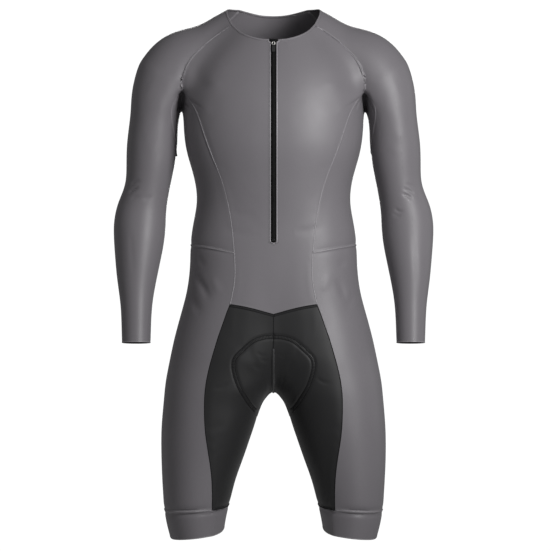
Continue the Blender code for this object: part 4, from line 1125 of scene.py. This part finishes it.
def cast_metal(name, light, dark, roughness, metallic):
    """Die-cast zinc, tumbled and then plated or lacquered, with fine pits."""
    made = new_material(name)
    place = add_node(made, "ShaderNodeTexCoord").outputs["Object"]
    pits = add_node(made, "ShaderNodeTexNoise", {"Vector": place, "Scale": 1400.0, "Detail": 2.0})
    tone = add_node(
        made,
        "ShaderNodeMix",
        {"Factor": pits.outputs["Fac"], "A": linear(dark), "B": linear(light)},
        data_type="RGBA",
    )
    bump = add_node(
        made,
        "ShaderNodeBump",
        {"Height": pits.outputs["Fac"], "Strength": 0.3, "Distance": 0.05 * MM},
    )
    surface(
        made,
        Base_Color=tone.outputs[2],
        Metallic=metallic,
        Roughness=roughness,
        Normal=bump.outputs[0],
    )
    return made


black_cast = cast_metal("black_lacquered_zinc", 0x2A2A2C, 0x18181A, 0.35, 0.6)
# The plating is only half metallic, so that so small a ring still looks bright here.
bright_cast = cast_metal("nickel_plated_zinc", 0xF2F0EC, 0xDCDAD6, 0.42, 0.5)


def finish_hard(piece, at, material, body, bevel):
    """Bevels a hard piece, moves it to its place and gives it its material and body."""
    select_only(piece)
    bpy.ops.object.transform_apply(location=True, rotation=True, scale=True)
    edge = piece.modifiers.new("edge", "BEVEL")
    edge.width = bevel
    edge.segments = 2
    edge.angle_limit = math.radians(40)
    bpy.ops.object.modifier_apply(modifier="edge")
    piece.data.transform(at)
    bpy.ops.object.shade_smooth_by_angle(angle=math.radians(40))
    piece.data.materials.clear()
    piece.data.materials.append(material)
    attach(piece, body)


SHIELD_WIDE, SHIELD_TALL = 4.2, 4.6
SHIELD_THICK, SHIELD_UP = 1.2 * MM, 0.5 * MM
ROUNDER = 0.45
bpy.ops.object.select_all(action="DESELECT")
bpy.ops.mesh.primitive_cylinder_add(
    vertices=32,
    radius=1,
    depth=SHIELD_THICK,
    location=(0, -1.1 * MM, SHIELD_UP),
    rotation=(math.pi / 2, 0, 0),
)
shield = bpy.context.object
shield.name = "slider_shield"
select_only(shield)
bpy.ops.object.transform_apply(location=True, rotation=True, scale=True)
for vert in shield.data.vertices:
    # A shield: broad and nearly square at its shoulders, narrow where it closes the zip.
    x, z = vert.co.x, vert.co.z - SHIELD_UP
    squareness = 1 / max(abs(x), abs(z), 0.01) ** ROUNDER
    taper = 0.8 + 0.2 * z
    vert.co.x = x * squareness * taper * SHIELD_WIDE * MM
    vert.co.z = z * squareness * SHIELD_TALL * MM + SHIELD_UP
finish_hard(shield, slider_place, black_cast, "suit", 0.3 * MM)
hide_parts("zip_slider")

# The ends of the tape are turned out over the binding and stitched down, a small trapezoid.
ENDS_TOP, ENDS_DEEP, ENDS_THICK = 15.5 * MM, 6.6 * MM, 0.9 * MM
ENDS_UP = 3.4 * MM
ENDS_TAPER = 0.55
bpy.ops.object.select_all(action="DESELECT")
bpy.ops.mesh.primitive_cube_add(size=1, location=(0, -0.35 * MM, ENDS_UP))
ends = bpy.context.object
ends.name = "zip_tape_ends"
ends.scale = (ENDS_TOP, ENDS_THICK, ENDS_DEEP)
select_only(ends)
bpy.ops.object.transform_apply(location=True, rotation=True, scale=True)
for vert in ends.data.vertices:
    if vert.co.z < ENDS_UP:
        vert.co.x *= ENDS_TAPER
finish_hard(ends, slider_place, tape, "suit", 0.35 * MM)



def wire_ring(name, radius, wire, at, turned):
    """A ring of round wire, the wire's radius given second."""
    bpy.ops.object.select_all(action="DESELECT")
    bpy.ops.mesh.primitive_torus_add(
        major_radius=radius,
        minor_radius=wire,
        major_segments=32,
        minor_segments=12,
        location=at,
        rotation=turned,
    )
    made = bpy.context.object
    made.name = name
    return made


BAIL_AT = (0, -1.75 * MM, 0.17 * MM)
bail = wire_ring("slider_bail", 2.42 * MM, 0.62 * MM, BAIL_AT, (0, math.pi / 2, 0))
finish_hard(bail, slider_place, black_cast, "suit", 0.01 * MM)
stop_node = nodes["zip_stop"]
stop_node.data.materials.clear()
stop_node.data.materials.append(black_cast)

# --------------------------------------------------------------------------------------
# The pull: a plated ring through the bail with a moulded rubber tab, ribbed for the thumb.
HINGE = Vector((0, -0.080534, -0.062589))
pull_place = Matrix.Translation(HINGE) @ Matrix.Rotation(SLIDER_TILT, 4, "X")
RING = 2.6 * MM
ring = wire_ring("pull_ring", RING, 0.75 * MM, (0, 0, -RING), (math.pi / 2, 0, 0))
finish_hard(ring, pull_place, bright_cast, "pull", 0.01 * MM)

rubber = new_material("black_moulded_rubber")
place = add_node(rubber, "ShaderNodeTexCoord").outputs["Object"]
cloud = add_node(rubber, "ShaderNodeTexNoise", {"Vector": place, "Scale": 700.0, "Detail": 2.0})
tone = add_node(
    rubber,
    "ShaderNodeMix",
    {"Factor": cloud.outputs["Fac"], "A": linear(0x1A1A1B), "B": linear(0x242425)},
    data_type="RGBA",
)
surface(rubber, Base_Color=tone.outputs[2], Roughness=0.62, Specular_IOR_Level=0.35)
TAB_TOP, TAB_END, TAB_HALF, TAB_THICK = -5.0, -19.5, 3.2, 1.6
bpy.ops.object.select_all(action="DESELECT")
bpy.ops.mesh.primitive_cube_add(size=1, location=(0, 0, (TAB_TOP + TAB_END) / 2 * MM))
tab = bpy.context.object
tab.name = "pull_tab"
tab.scale = (2 * TAB_HALF * MM, TAB_THICK * MM, (TAB_TOP - TAB_END) * MM)
select_only(tab)
bpy.ops.object.transform_apply(location=True, rotation=True, scale=True)
bpy.ops.object.mode_set(mode="EDIT")
bpy.ops.mesh.select_all(action="SELECT")
bpy.ops.mesh.subdivide(number_cuts=13)
bpy.ops.object.mode_set(mode="OBJECT")
for vert in tab.data.vertices:
    down = min(max((vert.co.z / MM - TAB_TOP) / (TAB_END - TAB_TOP), 0), 1)
    # It narrows to the ring at its top, is rounded at its end and has five grip ribs.
    vert.co.x *= 0.62 + 0.38 * min(down / 0.35, 1) ** 0.8
    if down > 0.8:
        vert.co.x *= math.sqrt(max(1 - ((down - 0.8) / 0.2) ** 2, 0.12))
    if abs(vert.co.x) < 2.3 * MM and 0.3 < down < 0.85:
        vert.co.y *= 1 + 0.22 * math.sin((down - 0.3) / 0.55 * 10 * math.pi)
    else:
        vert.co.y *= 0.92
finish_hard(tab, pull_place, rubber, "pull", 0.25 * MM)
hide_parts("zip_pull")

# --------------------------------------------------------------------------------------
# The neck binding: a narrow strip of the grey knit, folded over the neck's edge and sewn.
binding_knit = knit("grey_folded_knit_binding", 0x79767A, 0x6E6B6F, 0.5, 0.06, 0.05 * MM, 0.35)
BINDING_HALF = 1.8 * MM
BINDING_THICK = 1.6 * MM
SECTION_REACH = 3.9 * MM
mesh = bmesh.new()
mesh.from_mesh(nodes["neck_binding"].data)
bmesh.ops.remove_doubles(mesh, verts=mesh.verts, dist=WELD)
left = set(mesh.verts)
sections = []
while left:
    ring = [left.pop()]
    for vert in ring:
        beside = [e.other_vert(vert) for e in vert.link_edges if e.calc_length() < SECTION_REACH]
        fresh = [other for other in beside if other in left]
        left.difference_update(fresh)
        ring.extend(fresh)
    corner, *others = [vert.co.copy() for vert in ring]
    others.sort(key=lambda other: (other - corner).length)
    if len(others) != 3:
        continue
    middle = (corner + sum(others, Vector())) / 4
    up = Vector()
    for a, b in ((corner, others[0]), (others[1], others[2])):
        up += (a - b) if (a - heart(a)).length > (b - heart(b)).length else (b - a)
    sections.append((middle, up.normalized()))
mesh.free()
sections.sort(key=lambda section: math.atan2(section[0].x, -section[0].y) % (2 * math.pi))
line = smooth_line([middle for middle, _ in sections], 2 * MM)
turned = np.array([up for _, up in sections])
at = np.linspace(0, len(sections) - 1, len(line))
normals = read_along(at, np.arange(len(sections)), turned)
binding = lay_strips(
    "neck_binding_strip",
    [(line, normals)],
    BINDING_HALF,
    BINDING_THICK / 2,
    binding_knit,
    "grey_knit",
    under=-BINDING_THICK / 2,
)
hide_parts("neck_binding")

# --------------------------------------------------------------------------------------
# The raw edges of the cuffs and legs: cut clean and bonded, with a thin stiff lip. The lip
# is drawn in the roll's lighter grey, a painted highlight.
ENDING = {PANELS.index("sleeve_left"), PANELS.index("sleeve_right"), *BANDS}
lip_lines = [
    (p, n) for owner, p, n in rim_lines if owner in ENDING and p[:, 2].max() < ENDS_BELOW
]
edge_lips = lay_strips(
    "bonded_edges", lip_lines, 0.9 * MM, 0.25 * MM, grey_roll_with_painted_highlight, "grey_knit", under=-1.15 * MM
)

# --------------------------------------------------------------------------------------
# The seat pad, inside the saddle: moulded foam under brushed microfibre, with pressed
# channels. Only its edge shows, through the leg openings.
pad_cover = knit("charcoal_brushed_microfibre", 0x3A3A3E, 0x2E2E32, 0.8, 0.35, 0.2 * MM, 0.25)
pad = bpy.data.objects.new("seat_pad_foam", nodes["seat_pad"].data.copy())
bpy.context.scene.collection.objects.link(pad)
mesh = bmesh.new()
mesh.from_mesh(pad.data)
bmesh.ops.remove_doubles(mesh, verts=mesh.verts, dist=WELD)
bmesh.ops.join_triangles(
    mesh,
    faces=mesh.faces,
    angle_face_threshold=math.radians(50),
    angle_shape_threshold=math.radians(80),
)
mesh.to_mesh(pad.data)
mesh.free()
select_only(pad)
smoother = pad.modifiers.new("smoother", "SUBSURF")
smoother.levels = smoother.render_levels = 2
bpy.ops.object.modifier_apply(modifier="smoother")
CHANNEL_X = 24 * MM
CHANNEL_DEPTH = 1.1 * MM
CHANNEL_HALF, MIDDLE_HALF = 3 * MM, 2.5 * MM
places = read_points(pad.data)
ups = read_points(pad.data, "normal")
groove = np.exp(-(((np.abs(places[:, 0]) - CHANNEL_X) / CHANNEL_HALF) ** 2))
groove += np.exp(-((places[:, 0] / MIDDLE_HALF) ** 2))
write_points(pad.data, places - ups * (CHANNEL_DEPTH * groove)[:, None])
bpy.ops.object.shade_smooth_by_angle(angle=math.radians(50))
pad.data.materials.clear()
pad.data.materials.append(pad_cover)
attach(pad, "suit")
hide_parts("seat_pad")

# The cut: the flat size and area of each panel before it was sewn and stretched.
CUT = {
    "front": (0.30, 0.46, 0.083),
    "back": (0.30, 0.49, 0.090),
    "side": (0.20, 0.25, 0.045),
    "sleeve": (0.30, 0.55, 0.113),
    "outer_leg": (0.27, 0.41, 0.098),
    "inner_leg": (0.25, 0.32, 0.066),
    "leg_band": (0.36, 0.038, 0.0135),
}
for node, piece in panels.items():
    width, length, area = CUT[node.removesuffix("_left").removesuffix("_right")]

low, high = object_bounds()
